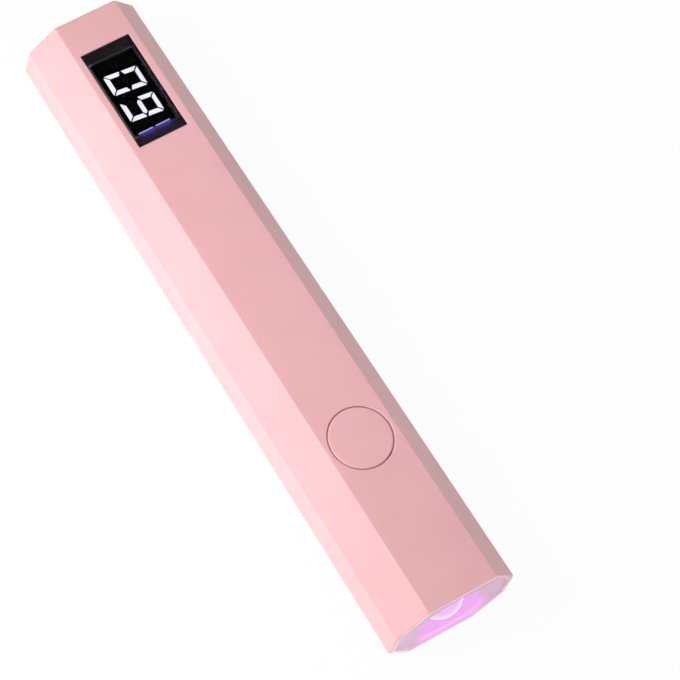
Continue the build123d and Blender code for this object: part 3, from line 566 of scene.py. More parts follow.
# %% A diffuser lit from behind
def glow(name, tones, strength, patch):
    """A diffuser lit from behind: light that varies a little from place to place."""
    made, tree, place = new_material(name)
    cloud = add(tree, "ShaderNodeTexNoise", {"Vector": place, "Scale": 1 / (patch * MM), "Detail": 1})
    tone = add(tree, "ShaderNodeMix", {0: cloud, 6: tones[0], 7: tones[1]}, data_type="RGBA")
    surface = add(tree, "ShaderNodeBsdfPrincipled", {
        "Base Color": "#202022", "Roughness": 0.6, "Specular IOR Level": 0.1,
        "Emission Color": tone, "Emission Strength": strength})
    add(tree, "ShaderNodeOutputMaterial", {"Surface": surface})
    print("glow", name, "of strength", strength)
    return made


# milky epoxy, lit: an even, cool white without a source to be seen
lit_diffuser = glow("lit_diffuser", ("#FFFFFF", "#F3F3FF"), 1.25, 0.5)
# the same under the film's edge: dimmer and more violet
bar_diffuser = glow("lit_diffuser_under_film", ("#CEC5F6", "#BCB2EC"), 1.0, 0.5)

# %% [markdown]
# ## The strokes of the digits
# Each digit is a set of seven strokes, of which the diffuser shows those that are lit: 0, 9, and the two
# halves of a last bar that the film almost covers. A stroke is a many-cornered outline about the digit's
# middle, and its corners are rounded, because light blurs a little in the diffuser. The digits lean by
# one angle, and the bar's halves are a film of light on the module's face. An outline that is made once
# serves every digit, so the numbers below are a rule rather than a drawing.

# %% Stroke outlines
DIGIT_HALF = (1.66, 2.66)
STROKE, STROKE_GAP = 0.62, 0.14


def stroke_outlines():
    """Corners of the seven strokes about the middle of an upright digit."""
    (side, top), wide, gap = DIGIT_HALF, STROKE, STROKE_GAP
    across = [(-side + gap, top), (side - gap, top), (side - wide - gap, top - wide),
              (-side + wide + gap, top - wide)]
    upright = [(-side, top - gap), (-side + wide, top - wide - gap), (-side + wide, wide / 2 + gap),
               (-side, gap)]
    dash = [(-side + wide / 2 + gap, 0), (-side + wide + gap, wide / 2), (side - wide - gap, wide / 2),
            (side - wide / 2 - gap, 0), (side - wide - gap, -wide / 2), (-side + wide + gap, -wide / 2)]
    flips = {"top": (across, 1, 1), "bottom": (across, 1, -1), "middle": (dash, 1, 1),
             "upper_left": (upright, 1, 1), "upper_right": (upright, -1, 1),
             "lower_left": (upright, 1, -1), "lower_right": (upright, -1, -1)}
    return {name: [(x * flip_x, y * flip_y) for x, y in stroke]
            for name, (stroke, flip_x, flip_y) in flips.items()}


print("the strokes are", ", ".join(stroke_outlines()))

# %% A stroke as a thin block
CORNER_ROUND = 0.1


def rounded(outline_points, radius, steps=4):
    """Round the corners of a flat outline with short curves."""
    result = []
    ends = [Vector((point[0], point[1])) for point in outline_points]
    for before, here, after in zip(ends[-1:] + ends, ends, ends[1:] + ends[:1]):
        reach = min(radius, (before - here).length * 0.45, (after - here).length * 0.45)
        start = here + (before - here).normalized() * reach
        end = here + (after - here).normalized() * reach
        for t in [k / steps for k in range(steps + 1)]:
            result.append(start * (1 - t) ** 2 + here * 2 * t * (1 - t) + end * t ** 2)
    return result


def stroke_shell(outline_points, middle_x, lean, top, depth=0.3):
    """A thin block with a rounded outline and a given lean."""
    flat_ring = rounded(outline_points, CORNER_ROUND)
    return lofted([[(middle_x + x + lean * y, y, z) for x, y in flat_ring] for z in (top - depth, top)])


print("a rounded dash has", len(rounded(stroke_outlines()["middle"], CORNER_ROUND)), "points")

# %% Lit strokes
LEAN = math.tan(math.radians(5.7))
DIGITS = ((-2.19, "middle"), (2.51, "lower_left"))
BAR_HALVES = ((0.12, 2.55), (-2.78, -0.3))
BAR_FROM_EDGE, BAR_WIDTH, BAR_RISE = -0.27, 0.6, 0.03
strokes_top = corners("lit_segments")[1].z
strokes = [stroke_shell(points, window_x + digit_x, LEAN, strokes_top)
           for digit_x, dark in DIGITS for name, points in stroke_outlines().items() if name != dark]
bars = [stroke_shell(rectangle((0, low), (BAR_WIDTH, high), 0), window_x + opening_x + BAR_FROM_EDGE, 0,
                     strokes_top + BAR_RISE, 2 * BAR_RISE) for low, high in BAR_HALVES]
piece("lit_strokes", strokes, lit_diffuser, "lit_segments")
piece("lit_bar", bars, bar_diffuser, "lit_segments", slot="lit_diffuser")

# %% [markdown]
# ## The light end
# Inside the rim sits the reflector, an ABS plate with a vapour-thin metal coat and a lacquer over it. Its
# shallow dish gets a painted pool of the lamp's magenta light that reaches down to the lower rim, while its
# two wings get a dimmer, greyish lilac painted light. In the middle stands the dome lens, moulded from
# clear acrylic like a drop of glass. Both follow a rule, a profile turned round the light's axis, and so
# both are turned again here with far more steps than the CAD facets.


# %% Turning about the light's axis
def about_light(point):
    """Turn a shape made about z so that it points to the light end."""
    return (point.z, point.x, light_axis_z + point.y)


# the shade reaches lower by its slope for each millimetre behind the light end. It begins so deep under
# the wall and is whole so far above, and it leaves a share of the light
RIM_WALL = 0.9
SHADE_SLOPE, SHADE_START, SHADE_WHOLE, SHADE_LEAVES = 5.1, 1.0, 0.4, 0.55


def under_rim(tree, place):
    """How much of the lamp's light reaches a point: less in the thin shade just under the top rim."""
    spot = add(tree, "ShaderNodeSeparateXYZ", {0: place}).outputs
    level = add(tree, "ShaderNodeMath", {0: spot[0], 1: -SHADE_SLOPE, 2: spot[2]},
                operation="MULTIPLY_ADD")
    edge = barrel_high.z - RIM_WALL - SHADE_SLOPE * light_end
    return add(tree, "ShaderNodeMapRange", {
        0: level, 1: (edge - SHADE_START) * MM, 2: (edge + SHADE_WHOLE) * MM, 3: 1.0, 4: SHADE_LEAVES},
        interpolation_type="SMOOTHSTEP")


print("light axis at height", round(light_axis_z, 2), "rim wall", RIM_WALL)

# %% The lens's profile
LENS_RADIUS, LENS_SEAT, PLATE_DEPTH = 3.7, 4.6, 3.0
ROOM_RADIUS = 2.1
plate_front = corners("reflector")[1].x
plate_back = plate_front - PLATE_DEPTH
emitter_front = corners("emitter_base")[1].x
room_start = math.degrees(math.asin((lens_low.x - emitter_front) / ROOM_RADIUS))
lens_profile = [(0, lens_high.x)] + arc(0, lens_high.x - LENS_RADIUS, LENS_RADIUS, 90, 0, 24)[1:]
lens_profile += [(LENS_RADIUS, plate_back), (LENS_SEAT, plate_back), (LENS_SEAT, lens_low.x)]
lens_profile += arc(0, emitter_front, ROOM_RADIUS, room_start, 90, 12)[:-1]
lens_profile += [(0, emitter_front + ROOM_RADIUS)]
print("lens profile of", len(lens_profile), "points, room for the light source", ROOM_RADIUS)

# %% Dome lens
# moulded acrylic over a bright chip: very glossy, with painted lilac light all over, and a painted ring
# highlight, lighter where its curve turns down and to the far side
# the painted ring highlight lies where the lens turns edge-on to this one fixed way
RING_WAY, RING_EDGE = (0.18, -0.34, 0.92), (0.44, 0.30)
LENS_LIGHT = 0.88
lens_acrylic, tree, place = new_material("clear_acrylic")
haze_and_glow_mottle = add(tree, "ShaderNodeTexNoise", {"Vector": place, "Scale": 1 / (1.2 * MM), "Detail": 2})
normal = add(tree, "ShaderNodeNewGeometry").outputs["Normal"]
facing = add(tree, "ShaderNodeVectorMath", {0: normal, 1: RING_WAY}, operation="DOT_PRODUCT")
ring_highlight = add(tree, "ShaderNodeMapRange", {0: facing, 1: RING_EDGE[0], 2: RING_EDGE[1]})
inner = add(tree, "ShaderNodeMix", {0: haze_and_glow_mottle, 6: "#E0ACE6", 7: "#E9BCEE"}, data_type="RGBA")
lens_tone = add(tree, "ShaderNodeMix", {0: ring_highlight, 6: inner, 7: "#F8D2F8"}, data_type="RGBA")
gloss = add(tree, "ShaderNodeMapRange", {0: haze_and_glow_mottle, 3: 0.04, 4: 0.09})
lens_glow = add(tree, "ShaderNodeMath", {0: under_rim(tree, place), 1: LENS_LIGHT}, operation="MULTIPLY")
surface = add(tree, "ShaderNodeBsdfPrincipled", {
    "Base Color": "#6E5C74", "Roughness": gloss, "IOR": 1.49, "Transmission Weight": 0.3,
    "Emission Color": lens_tone, "Emission Strength": lens_glow})
add(tree, "ShaderNodeOutputMaterial", {"Surface": surface})
piece("dome_lens_turned", [moved(turned(lens_profile, 128), about_light)], lens_acrylic, "dome_lens",
      crisp=50)

# %% The reflector's plate, dish and skirt
STEPS = 128
DISH_MOUTH, DISH_DEPTH, BORE = 5.6, 1.5, 3.8
DISH_STEPS = 12
PLATE_EDGE = 0.12
SKIRT_OUTER, SKIRT_INNER, SKIRT_GAP = 5.6, 4.7, 0.01


def plate_edge(x, inset):
    """The rule of the plate's eight-sided edge: how far it lies from the light's axis at an angle."""
    edges = [(y, z - light_axis_z) for y, z in outline(x, inset)]

    def reach(angle):
        ray_y, ray_z = math.cos(angle), math.sin(angle)
        for (y0, z0), (y1, z1) in zip(edges, edges[1:] + edges[:1]):
            across = ray_y * (z1 - z0) - ray_z * (y1 - y0)
            far = (y0 * (z1 - z0) - z0 * (y1 - y0)) / across if across else 0
            if far > 0 and -1e-9 <= (y0 * ray_z - z0 * ray_y) / across <= 1 + 1e-9:
                return far
    return reach


plate_rings = [ring(plate_edge(x, inset), x, STEPS) for x, inset in (
    (plate_back, RIM_WALL), (plate_front - PLATE_EDGE, RIM_WALL), (plate_front, RIM_WALL + PLATE_EDGE))]
plate_rings.append(ring(DISH_MOUTH + 0.1, plate_front, STEPS))
for share in [k / DISH_STEPS for k in range(DISH_STEPS + 1)]:
    plate_rings.append(ring(DISH_MOUTH + (BORE - DISH_MOUTH) * share,
                            plate_front - DISH_DEPTH * math.sin(share * math.pi / 2), STEPS))
plate_rings.append(ring(BORE, plate_back, STEPS))
skirt_back, skirt_front = plate_back + SKIRT_GAP, corners("light_board")[1].x
skirt_rings = [ring(radius, x, STEPS) for x, radius in (
    (skirt_back, SKIRT_OUTER), (skirt_front, SKIRT_OUTER), (skirt_front, SKIRT_INNER),
    (skirt_back, SKIRT_INNER))]
print("reflector of", len(plate_rings), "rings, dish", DISH_DEPTH, "mm deep")

# %% The reflector's painted light
# ABS with a vapour-thin metal coat under lacquer: a satin skin with a fine orange peel. A pool of
# magenta lamplight is painted on it, soft at its edge, and the rest gets a dimmer, greyish lilac painted
# light. In mm: the pool's half width and height, its middle's height, and at two heights how far it leans
# to the far side
POOL_HALF, POOL_Z, POOL_LEAN = (5.65, 8.6), 4.6, ((3.5, 1.45), (10.5, 0.2))
POOL_EDGE, FOOT = (1.22, 0.88), (1.2, 3.4)
coat, tree, place = new_material("metallised_abs")
where = add(tree, "ShaderNodeSeparateXYZ", {0: place}).outputs
wander = add(tree, "ShaderNodeTexNoise", {"Vector": place, "Scale": 1 / (3 * MM), "Detail": 2})
(low, lean), (high, less) = POOL_LEAN
leans = add(tree, "ShaderNodeMapRange", {0: where[2], 1: low * MM, 2: high * MM, 3: lean * MM,
                                         4: less * MM}, interpolation_type="SMOOTHSTEP")
sideways = add(tree, "ShaderNodeMath", {0: where[1], 1: leans}, operation="SUBTRACT")
upwards = add(tree, "ShaderNodeMath", {0: where[2], 1: POOL_Z * MM}, operation="SUBTRACT")
shares = [add(tree, "ShaderNodeMath", {0: way, 1: half * MM}, operation="DIVIDE")
          for way, half in zip((sideways, upwards), POOL_HALF)]
from_pool = add(tree, "ShaderNodeVectorMath", {
    0: add(tree, "ShaderNodeCombineXYZ", {0: shares[0], 1: shares[1]})}, operation="LENGTH")
wavy = add(tree, "ShaderNodeMath", {0: wander, 1: 0.1, 2: from_pool}, operation="MULTIPLY_ADD")
lit = add(tree, "ShaderNodeMapRange", {0: wavy, 1: POOL_EDGE[0], 2: POOL_EDGE[1]},
          interpolation_type="SMOOTHSTEP")
at_foot = add(tree, "ShaderNodeMapRange", {0: where[2], 1: FOOT[0] * MM, 2: FOOT[1] * MM, 3: 1, 4: 0})
lamp_tone = add(tree, "ShaderNodeMix", {0: at_foot, 6: "#D08AD6", 7: "#DC9ADF"}, data_type="RGBA")
light_tone = add(tree, "ShaderNodeMix", {0: lit, 6: "#A78C9C", 7: lamp_tone}, data_type="RGBA")
orange_peel = add(tree, "ShaderNodeTexNoise", {"Vector": place, "Scale": 1 / (0.35 * MM), "Detail": 2})
bump = add(tree, "ShaderNodeBump", {"Height": orange_peel, "Distance": 0.002 * MM})
surface = add(tree, "ShaderNodeBsdfPrincipled", {
    "Base Color": "#8A7784", "Roughness": 0.4, "Metallic": 0.2, "Normal": bump,
    "Emission Color": light_tone, "Emission Strength": under_rim(tree, place)})
add(tree, "ShaderNodeOutputMaterial", {"Surface": surface})
piece("reflector_turned", [moved(lofted(rings, closed=True), about_light)
                           for rings in (plate_rings, skirt_rings)], coat, "reflector", crisp=40)

# %% [markdown]
# ## The light source
# Behind the lens a white ceramic block carries a chip no bigger than a grain of salt, under a soft clear
# dome of silicone. Only their glow shows, drawn large by the lens.

# %% Light source
# a violet-pink chip: the brightest thing in the lamp
dress(glow("light_die", ("#F7A6FF", "#E58BFF"), 2.0, 0.3), "emitter_die")
# fired alumina: matt and white, with the chip's violet light painted on it
dress(finish("white_ceramic", ("#E9D9EE", "#E2CFEA"), patch=1.5, rough=(0.5, 0.6), grain=0.06,
             relief=0.001, shader={"Emission Color": "#D97BEA", "Emission Strength": 0.55}),
      "emitter_base")
# white ABS flooded with lamplight: pale pink, with no shade to be seen
dress(finish("white_abs_in_lamplight", ("#F1E4F5", "#EADAF0"), patch=3, rough=(0.45, 0.55), grain=0.1,
             relief=0.001, shader={"Emission Color": "#F3B4F8", "Emission Strength": 0.9}),
      "lens_spacer")
# white solder mask on aluminium: smoother than the plastics round it, and less lit
dress(finish("white_aluminium_board", ("#F4F1F6", "#ECE8F0"), patch=2, rough=(0.3, 0.42), grain=0.2,
             relief=0.002, shader={"Emission Color": "#F3B4F8", "Emission Strength": 0.5}),
      "light_board")
# cast silicone: clear as water and soft-looking, without a hard highlight
dress(finish("clear_silicone", ("#FFF6FF", "#F8EEFF"), patch=1, rough=(0.05, 0.1), grain=0.3,
             relief=0.0005, shader={"Transmission Weight": 1.0, "IOR": 1.41}), "emitter_dome")

# %% [markdown]
# ## Finishes inside
# Nothing inside shows while the barrel is whole, but a part that is reused gets opened: a cutaway, an
# exploded view. So every inner piece gets its real finish: moulded nylon and ABS, rolled and brushed steel,
# bright tin on legs, gold over nickel on contacts, fired ceramic, silicone rubber and cast aluminium.
# The stretch in the recipe turns its round grain into the brush lines of rolled sheet.

# %% Plastics, rubber and ceramics
# a row holds: name, tones, patch, gloss, grain, relief, stretch, and the pieces that wear it
EVEN, DRAWN = (1, 1, 1), (0.2, 1, 1)
for name, tones, patch, rough, grain, relief, stretch, *nodes in (
        # nylon with glass in it, moulded: near black and a little pebbled, as fibres dull its skin
        ("black_nylon", ("#17171A", "#1E1E22"), 2, (0.42, 0.58), 0.08, 0.003, EVEN,
         "switch_base", "switch_plunger", "socket_tongue"),
        # ABS without dye: a warm white, with the barrel's satin
        ("white_abs", ("#E9E6DF", "#E3E0D8"), 6, (0.42, 0.5), 0.12, 0.0015, EVEN, "carrier"),
        # pressed and fired iron oxide: charcoal grey and dry, with the grain of its powder
        ("ferrite", ("#2B2D31", "#383A3E"), 0.6, (0.6, 0.8), 0.05, 0.006, EVEN, "coil_core"),
        # silicone rubber, extruded over wire: soft-looking, with faint lines along its length
        ("red_silicone", ("#B3231D", "#A41D1A"), 2, (0.38, 0.5), 0.1, 0.002, DRAWN,
         "battery_lead_red", "light_lead_red"),
        ("black_silicone", ("#141416", "#1B1B1E"), 2, (0.38, 0.5), 0.1, 0.002, DRAWN,
         "battery_lead_black", "light_lead_black"),
        # acrylic tape: amber, half glossy, with long soft wrinkles
        ("acrylic_tape", ("#D9C27A", "#D2B96E"), 4, (0.3, 0.45), 0.4, 0.004, (0.3, 1, 1),
         "battery_tape"),
        # silicone filled with ceramic powder: grey, matt and slightly crumbly, like putty
        ("grey_thermal_pad", ("#8B9199", "#7F858E"), 1.2, (0.7, 0.85), 0.15, 0.012, EVEN,
         "thermal_pad")):
    dress(finish(name, tones, patch, rough, grain, relief, stretch), *nodes)

# %% Metals
METAL = {"Metallic": 1.0}
# rolled stainless sheet, brushed: a grey mirror broken into lines, drawn three times as coarse as real
dress(finish("brushed_stainless", ("#C9CBCD", "#B9BBBE"), patch=3, rough=(0.22, 0.4), grain=0.06,
             relief=0.002, stretch=(0.08, 1, 1), shader=METAL), "socket_shell", "switch_cover")
# rolled spring steel: brighter and smoother than the brushed sheet
spring_steel = finish("spring_steel", ("#BFC0C2", "#A9ABAE"), patch=1, rough=(0.16, 0.28), grain=0.05,
                      relief=0.001, shader=METAL)
# die-cast aluminium: a dull silver with the mottled skin of the die
dress(finish("cast_aluminium", ("#B4B7BA", "#A6A9AD"), patch=3, rough=(0.42, 0.62), grain=0.18,
             relief=0.02, shader=METAL), "heat_sink")
# copper wire dipped in tin: bright and whitish, with soft runs where the tin set
tin = finish("tinned_wire", ("#D3D5D6", "#C3C5C8"), patch=0.5, rough=(0.2, 0.35), grain=0.08,
             relief=0.002, shader=METAL)
# gold plated over nickel: warm yellow, glossy, with the fine lines of the punch
gold = finish("gold_plate", ("#E3B65A", "#D6A64C"), patch=0.8, rough=(0.16, 0.3), grain=0.06,
              relief=0.001, stretch=(0.15, 1, 1), shader=METAL)
# steel plated with zinc: a bluish silver, cloudy in places
zinc = finish("zinc_screw", ("#C4C8CE", "#AEB3BC"), patch=0.8, rough=(0.24, 0.42), grain=0.07,
              relief=0.003, shader=METAL)
# copper under clear enamel: orange brown and wet-looking
copper = finish("enamelled_copper", ("#B4602E", "#C3703A"), patch=0.5, rough=(0.18, 0.3), grain=0.1,
                relief=0.001, shader={"Metallic": 0.85})

# %% [markdown]
# ## Circuit boards and chips
# A board is glass laminate under a green mask. Copper tracks lie under the mask and show as slightly
# lighter lines, 0.3 mm wide on a 0.6 mm pitch, running one way in one block and the other way in the next.
# Some blocks are left bare. The sawn sides of the board have no tracks either, so the lines are kept to
# faces that look up or down.
# Chips are pressed from epoxy filled with fine glass, which leaves them a dull black.

# %% Laminate with tracks
# solder mask over copper on laminate: deep green, half glossy, lighter and raised where a track runs
TRACK_PITCH, TRACK_BLOCK, TRACK_RISE = 0.6, 3.6, 0.02
ONE_WAY, BARE = 0.45, 0.3
BASE_GREEN, TRACK_GREEN = "#0C4A2C", "#1A6A41"
laminate, tree, place = new_material("green_laminate")
blocks = add(tree, "ShaderNodeTexVoronoi", {"Vector": place, "Scale": 1 / (TRACK_BLOCK * MM),
                                            "Randomness": 0.35}, distance="CHEBYCHEV")
chance = add(tree, "ShaderNodeSeparateColor", {0: blocks.outputs["Color"]}).outputs
spot = add(tree, "ShaderNodeSeparateXYZ", {0: place}).outputs
lines = []
for axis in (0, 1):
    turns = add(tree, "ShaderNodeMath", {0: spot[axis], 1: 1 / (TRACK_PITCH * MM)}, operation="MULTIPLY")
    part = add(tree, "ShaderNodeMath", {0: turns}, operation="FRACT")
    lines.append(add(tree, "ShaderNodeMath", {0: part, 1: 0.5}, operation="LESS_THAN"))
which = add(tree, "ShaderNodeMath", {0: chance[0], 1: ONE_WAY}, operation="GREATER_THAN")
chosen = add(tree, "ShaderNodeMix", {0: which, 2: lines[0], 3: lines[1]}, data_type="FLOAT")
filled = add(tree, "ShaderNodeMath", {0: chance[1], 1: BARE}, operation="GREATER_THAN")
track = add(tree, "ShaderNodeMath", {0: chosen, 1: filled}, operation="MULTIPLY")
looks = add(tree, "ShaderNodeSeparateXYZ", {0: add(tree, "ShaderNodeNewGeometry").outputs["Normal"]})
level = add(tree, "ShaderNodeMath", {0: looks.outputs[2]}, operation="ABSOLUTE")
face = add(tree, "ShaderNodeMath", {0: level, 1: 0.5}, operation="GREATER_THAN")
track = add(tree, "ShaderNodeMath", {0: track, 1: face}, operation="MULTIPLY")
tone = add(tree, "ShaderNodeMix", {0: track, 6: BASE_GREEN, 7: TRACK_GREEN}, data_type="RGBA")
weave = add(tree, "ShaderNodeTexNoise", {"Vector": place, "Scale": 1 / (0.15 * MM), "Detail": 2})
gloss = add(tree, "ShaderNodeMapRange", {0: weave, 3: 0.26, 4: 0.4})
bump = add(tree, "ShaderNodeBump", {"Height": track, "Distance": TRACK_RISE * MM})
surface = add(tree, "ShaderNodeBsdfPrincipled", {"Base Color": tone, "Roughness": gloss, "Normal": bump})
add(tree, "ShaderNodeOutputMaterial", {"Surface": surface})
dress(laminate, "main_board", "battery_guard_board")
print("boards dressed, pitch", TRACK_PITCH, "mm")

# %% Chips, resistors and capacitors
# epoxy filled with ground glass, pressed: a dull, faintly sandy black
chip_epoxy = finish("chip_epoxy", ("#1A1A1C", "#222225"), patch=1, rough=(0.55, 0.72), grain=0.06,
                    relief=0.003)
# alumina under a black resistor coat: smoother than the chips, with a glassy glint
resistor_coat = finish("resistor_ceramic", ("#1B1B1D", "#29292C"), patch=0.4, rough=(0.3, 0.5),
                       grain=0.05, relief=0.002)
# fired titanate ceramic: the tan of dry clay, matt
capacitor_body = finish("capacitor_ceramic", ("#A5835C", "#977550"), patch=0.5, rough=(0.5, 0.7),
                        grain=0.05, relief=0.004)

# %% [markdown]
# ## Places of like pieces
# Legs, pins, contacts and screws come many at a time. A CAD piece that holds them is one mesh of loose
# parts, so walking from vertex to vertex along the edges finds each part, and its box gives a middle and
# a size. The copies below are placed by these, and so they follow the CAD if a count or a pitch changes.


# %% Middles of loose parts
def loose_parts(node):
    """Middle and size of each separate solid of a CAD piece, in millimetres."""
    shape = bmesh.new()
    shape.from_mesh(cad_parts[node].data)
    bmesh.ops.remove_doubles(shape, verts=shape.verts, dist=0.001 * MM)
    found, seen = [], set()
    for start in shape.verts:
        if start in seen:
            continue
        seen.add(start)
        group, waiting = [], [start]
        while waiting:
            vert = waiting.pop()
            group.append(vert.co / MM)
            others = [edge.other_vert(vert) for edge in vert.link_edges]
            waiting += [other for other in others if other not in seen]
            seen.update(others)
        low, high = (Vector([pick(point[i] for point in group) for i in range(3)]) for pick in (min, max))
        found.append(((low + high) / 2, high - low))
    shape.free()
    return found


leg_places = loose_parts("chip_legs")
print(len(leg_places), "chip legs,", len(loose_parts("socket_contacts")), "contacts")

# %% [markdown]
# ## One Geometry Nodes tree for every set of copies
# The tree is given a mesh of bare points, each with a turn. It puts a copy on every point, turns it,
# spins it about its own axis by a chance angle where that is wanted (no two screws end with their crosses
# alike), makes the copies real, and sets the finish. The seed is fixed, so the spins are the same each run.


# %% How a Geometry Nodes tree starts and ends
def new_tree(name, start, result, **kinds):
    """A tree with a mesh in and out and named inputs, its input sockets, and each input's identifier."""
    tree = bpy.data.node_groups.new(name, "GeometryNodeTree")
    tree.interface.new_socket(start, in_out="INPUT", socket_type="NodeSocketGeometry")
    tree.interface.new_socket(result, in_out="OUTPUT", socket_type="NodeSocketGeometry")
    keys = {key: tree.interface.new_socket(key, in_out="INPUT", socket_type="NodeSocket" + kind).identifier
            for key, kind in kinds.items()}
    return tree, add(tree, "NodeGroupInput").outputs, keys


def end_tree(tree, shapes, material):
    """Make what the tree has placed real, set its finish and hand it out."""
    real = add(tree, "GeometryNodeRealizeInstances", {0: shapes})
    dressed = add(tree, "GeometryNodeSetMaterial", {"Geometry": real, "Material": material})
    add(tree, "NodeGroupOutput", {0: dressed})


def grown(name, tree, keys, start_mesh, **values):
    """The plain mesh that a Geometry Nodes tree makes from a starting mesh."""
    holder = in_scene(name + "_start", start_mesh)
    modifier = holder.modifiers.new(name, "NODES")
    modifier.node_group = tree
    for key, value in values.items():
        modifier[keys[key]] = value
    holder.update_tag()
    graph = bpy.context.evaluated_depsgraph_get()
    mesh = bpy.data.meshes.new_from_object(holder.evaluated_get(graph))
    bpy.data.objects.remove(holder)
    return mesh


# %% The copies tree
SEED = 7
copies_tree, inputs, copies_keys = new_tree("copies_at_points", "Points", "Copies", Copy="Object",
                                            Finish="Material", Spin="Float", Seed="Int")
copy = add(copies_tree, "GeometryNodeObjectInfo", {"Object": inputs["Copy"]}).outputs["Geometry"]
turn = add(copies_tree, "GeometryNodeInputNamedAttribute", {"Name": "turn"}, data_type="FLOAT_VECTOR")
placed = add(copies_tree, "GeometryNodeInstanceOnPoints",
             {"Points": inputs["Points"], "Instance": copy, "Rotation": turn})
chance = add(copies_tree, "FunctionNodeRandomValue", {2: 0.0, 3: inputs["Spin"], "Seed": inputs["Seed"]},
             data_type="FLOAT")
spin = add(copies_tree, "ShaderNodeCombineXYZ", {2: chance})
spun = add(copies_tree, "GeometryNodeRotateInstances",
           {"Instances": placed, "Rotation": spin, "Local Space": True})
end_tree(copies_tree, spun, inputs["Finish"])


def copies(name, shells, places, material, stands_for, spin=0.0):
    """One piece made of turned copies. Places are (point, turn), in millimetres and radians."""
    source = bpy.data.objects.new(name + "_copy", shell_mesh(name + "_copy", shells))
    points = bpy.data.meshes.new(name + "_points")
    points.from_pydata([Vector(point) * MM for point, turn in places], [], [])
    turns = points.attributes.new("turn", "FLOAT_VECTOR", "POINT")
    turns.data.foreach_set("vector", [angle for point, turn in places for angle in turn])
    mesh = grown(name, copies_tree, copies_keys, points, Copy=source, Finish=material, Spin=spin,
                 Seed=SEED)
    bpy.data.objects.remove(source)
    settle(name, mesh, material, stands_for)


print("the copies tree has", len(copies_tree.nodes), "nodes, seed", SEED)

# %% [markdown]
# ## Gull-wing legs
# A chip's leg is stamped from tinned copper strip: flat out of the body, bent down, and flat again on the
# board, like a gull's wing. The strip is a chain of four-cornered rings along its bent line. Legs on the
# near side are the same strip turned half round.

# %% Strips and legs
LEG_STRIP, LEG_WIDTH, LEG_REACH = 0.14, 0.4, 0.9
CORNER_ORDER = ((-1, -1), (1, -1), (1, 1), (-1, 1))


def bent_strip(line, width, thickness):
    """A strip along a line of (forward, height) points, lying in y and z."""
    rings = []
    for k, (forward, level) in enumerate(line):
        before, after = line[max(k - 1, 0)], line[min(k + 1, len(line) - 1)]
        along = Vector((after[0] - before[0], after[1] - before[1])).normalized() * thickness / 2
        rings.append([(side * width / 2, forward - rise * along[1], level + rise * along[0])
                      for side, rise in CORNER_ORDER])
    return lofted(rings)


def gull_wing(reach, height, thickness):
    """The bent line of a leg about the middle of its box, from the body to the toe."""
    high, low, half = height / 2 - thickness, -height / 2 + thickness / 2, reach / 2
    return [(-half - 0.06, high), (-half * 0.45, high), (-half * 0.25, high - 0.03),
            (-half * 0.12, high - 0.1), (half * 0.12, low + 0.1), (half * 0.25, low + 0.03),
            (half * 0.45, low), (half, low)]


CHIPS = ("timer_chip", "charger_chip", "driver_chip")
chip_middles = [(corners(chip)[0] + corners(chip)[1]) / 2 for chip in CHIPS]
leg_size = leg_places[0][1]
leg_turns = []
for middle, size in leg_places:
    nearest = min(chip_middles, key=lambda chip: (chip.xy - middle.xy).length)
    leg_turns.append(((middle.x, middle.y, board_high.z + leg_size.z / 2),
                      (0, 0, 0 if middle.y > nearest.y else math.pi)))
copies("gull_wing_legs", [bent_strip(gull_wing(LEG_REACH, leg_size.z, LEG_STRIP), LEG_WIDTH, LEG_STRIP)],
       leg_turns, tin, "chip_legs")

# %% [markdown]
# ## Chip bodies
# A chip is pressed in two mould halves that meet at the legs. It is widest there, its sides lean in above
# and below so that it comes out of the mould, and a pin of the mould leaves a round dimple beside the
# first leg. Each body is one loft: rectangles going up, then circles going down into the dimple. Every
# point of a circle lies on the line from the dimple's middle to its partner on the last rectangle, so
# the flat top closes round the dimple with no crossing edge.

# %% Chip bodies
PER_SIDE, DIMPLE_INSET = 8, 0.62
# how far the sides lean in, the top's bevel, and half the height of the upright band at the legs
LEAN_BELOW, LEAN_ABOVE, TOP_EDGE, PARTING = 0.12, 0.13, 0.05, 0.04
# radius and depth of the circles that go down into the dimple
DIMPLE = ((0.28, 0), (0.25, 0.05), (0.12, 0.08))


def chip_shell(low, high):
    """A pressed body between two corners, widest at the legs, with a dimple in its top."""
    parting = board_high.z + leg_size.z - LEG_STRIP
    rings = [rectangle(low, high, level, inset, PER_SIDE)
             for inset, level in ((LEAN_BELOW, low.z), (0, parting - PARTING), (0, parting + PARTING),
                                  (LEAN_ABOVE, high.z - TOP_EDGE), (LEAN_ABOVE + TOP_EDGE, high.z))]
    dimple = Vector((low.x + DIMPLE_INSET, low.y + DIMPLE_INSET, high.z))
    top = rings[-1]
    for radius, depth in DIMPLE:
        rings.append([dimple + (point - dimple).normalized() * radius - Vector((0, 0, depth))
                      for point in top])
    return lofted(rings)


for chip in CHIPS:
    piece(chip + "_moulded", [chip_shell(*corners(chip))], chip_epoxy, chip, crisp=20)

# %% [markdown]
# ## The switch's legs
# The push switch stands on four legs of the same form, stamped from thicker strip. The rule of the bent
# line takes a reach, a height and a thickness, so it serves here too, and the CAD gives the first two.

# %% Switch legs
SWITCH_STRIP = 0.18
switch_legs = loose_parts("switch_legs")
switch_leg = switch_legs[0][1]
copies("switch_gull_legs",
       [bent_strip(gull_wing(switch_leg.y, switch_leg.z, SWITCH_STRIP), switch_leg.x, SWITCH_STRIP)],
       [(middle, (0, 0, 0 if middle.y > 0 else math.pi)) for middle, size in switch_legs], tin,
       "switch_legs")
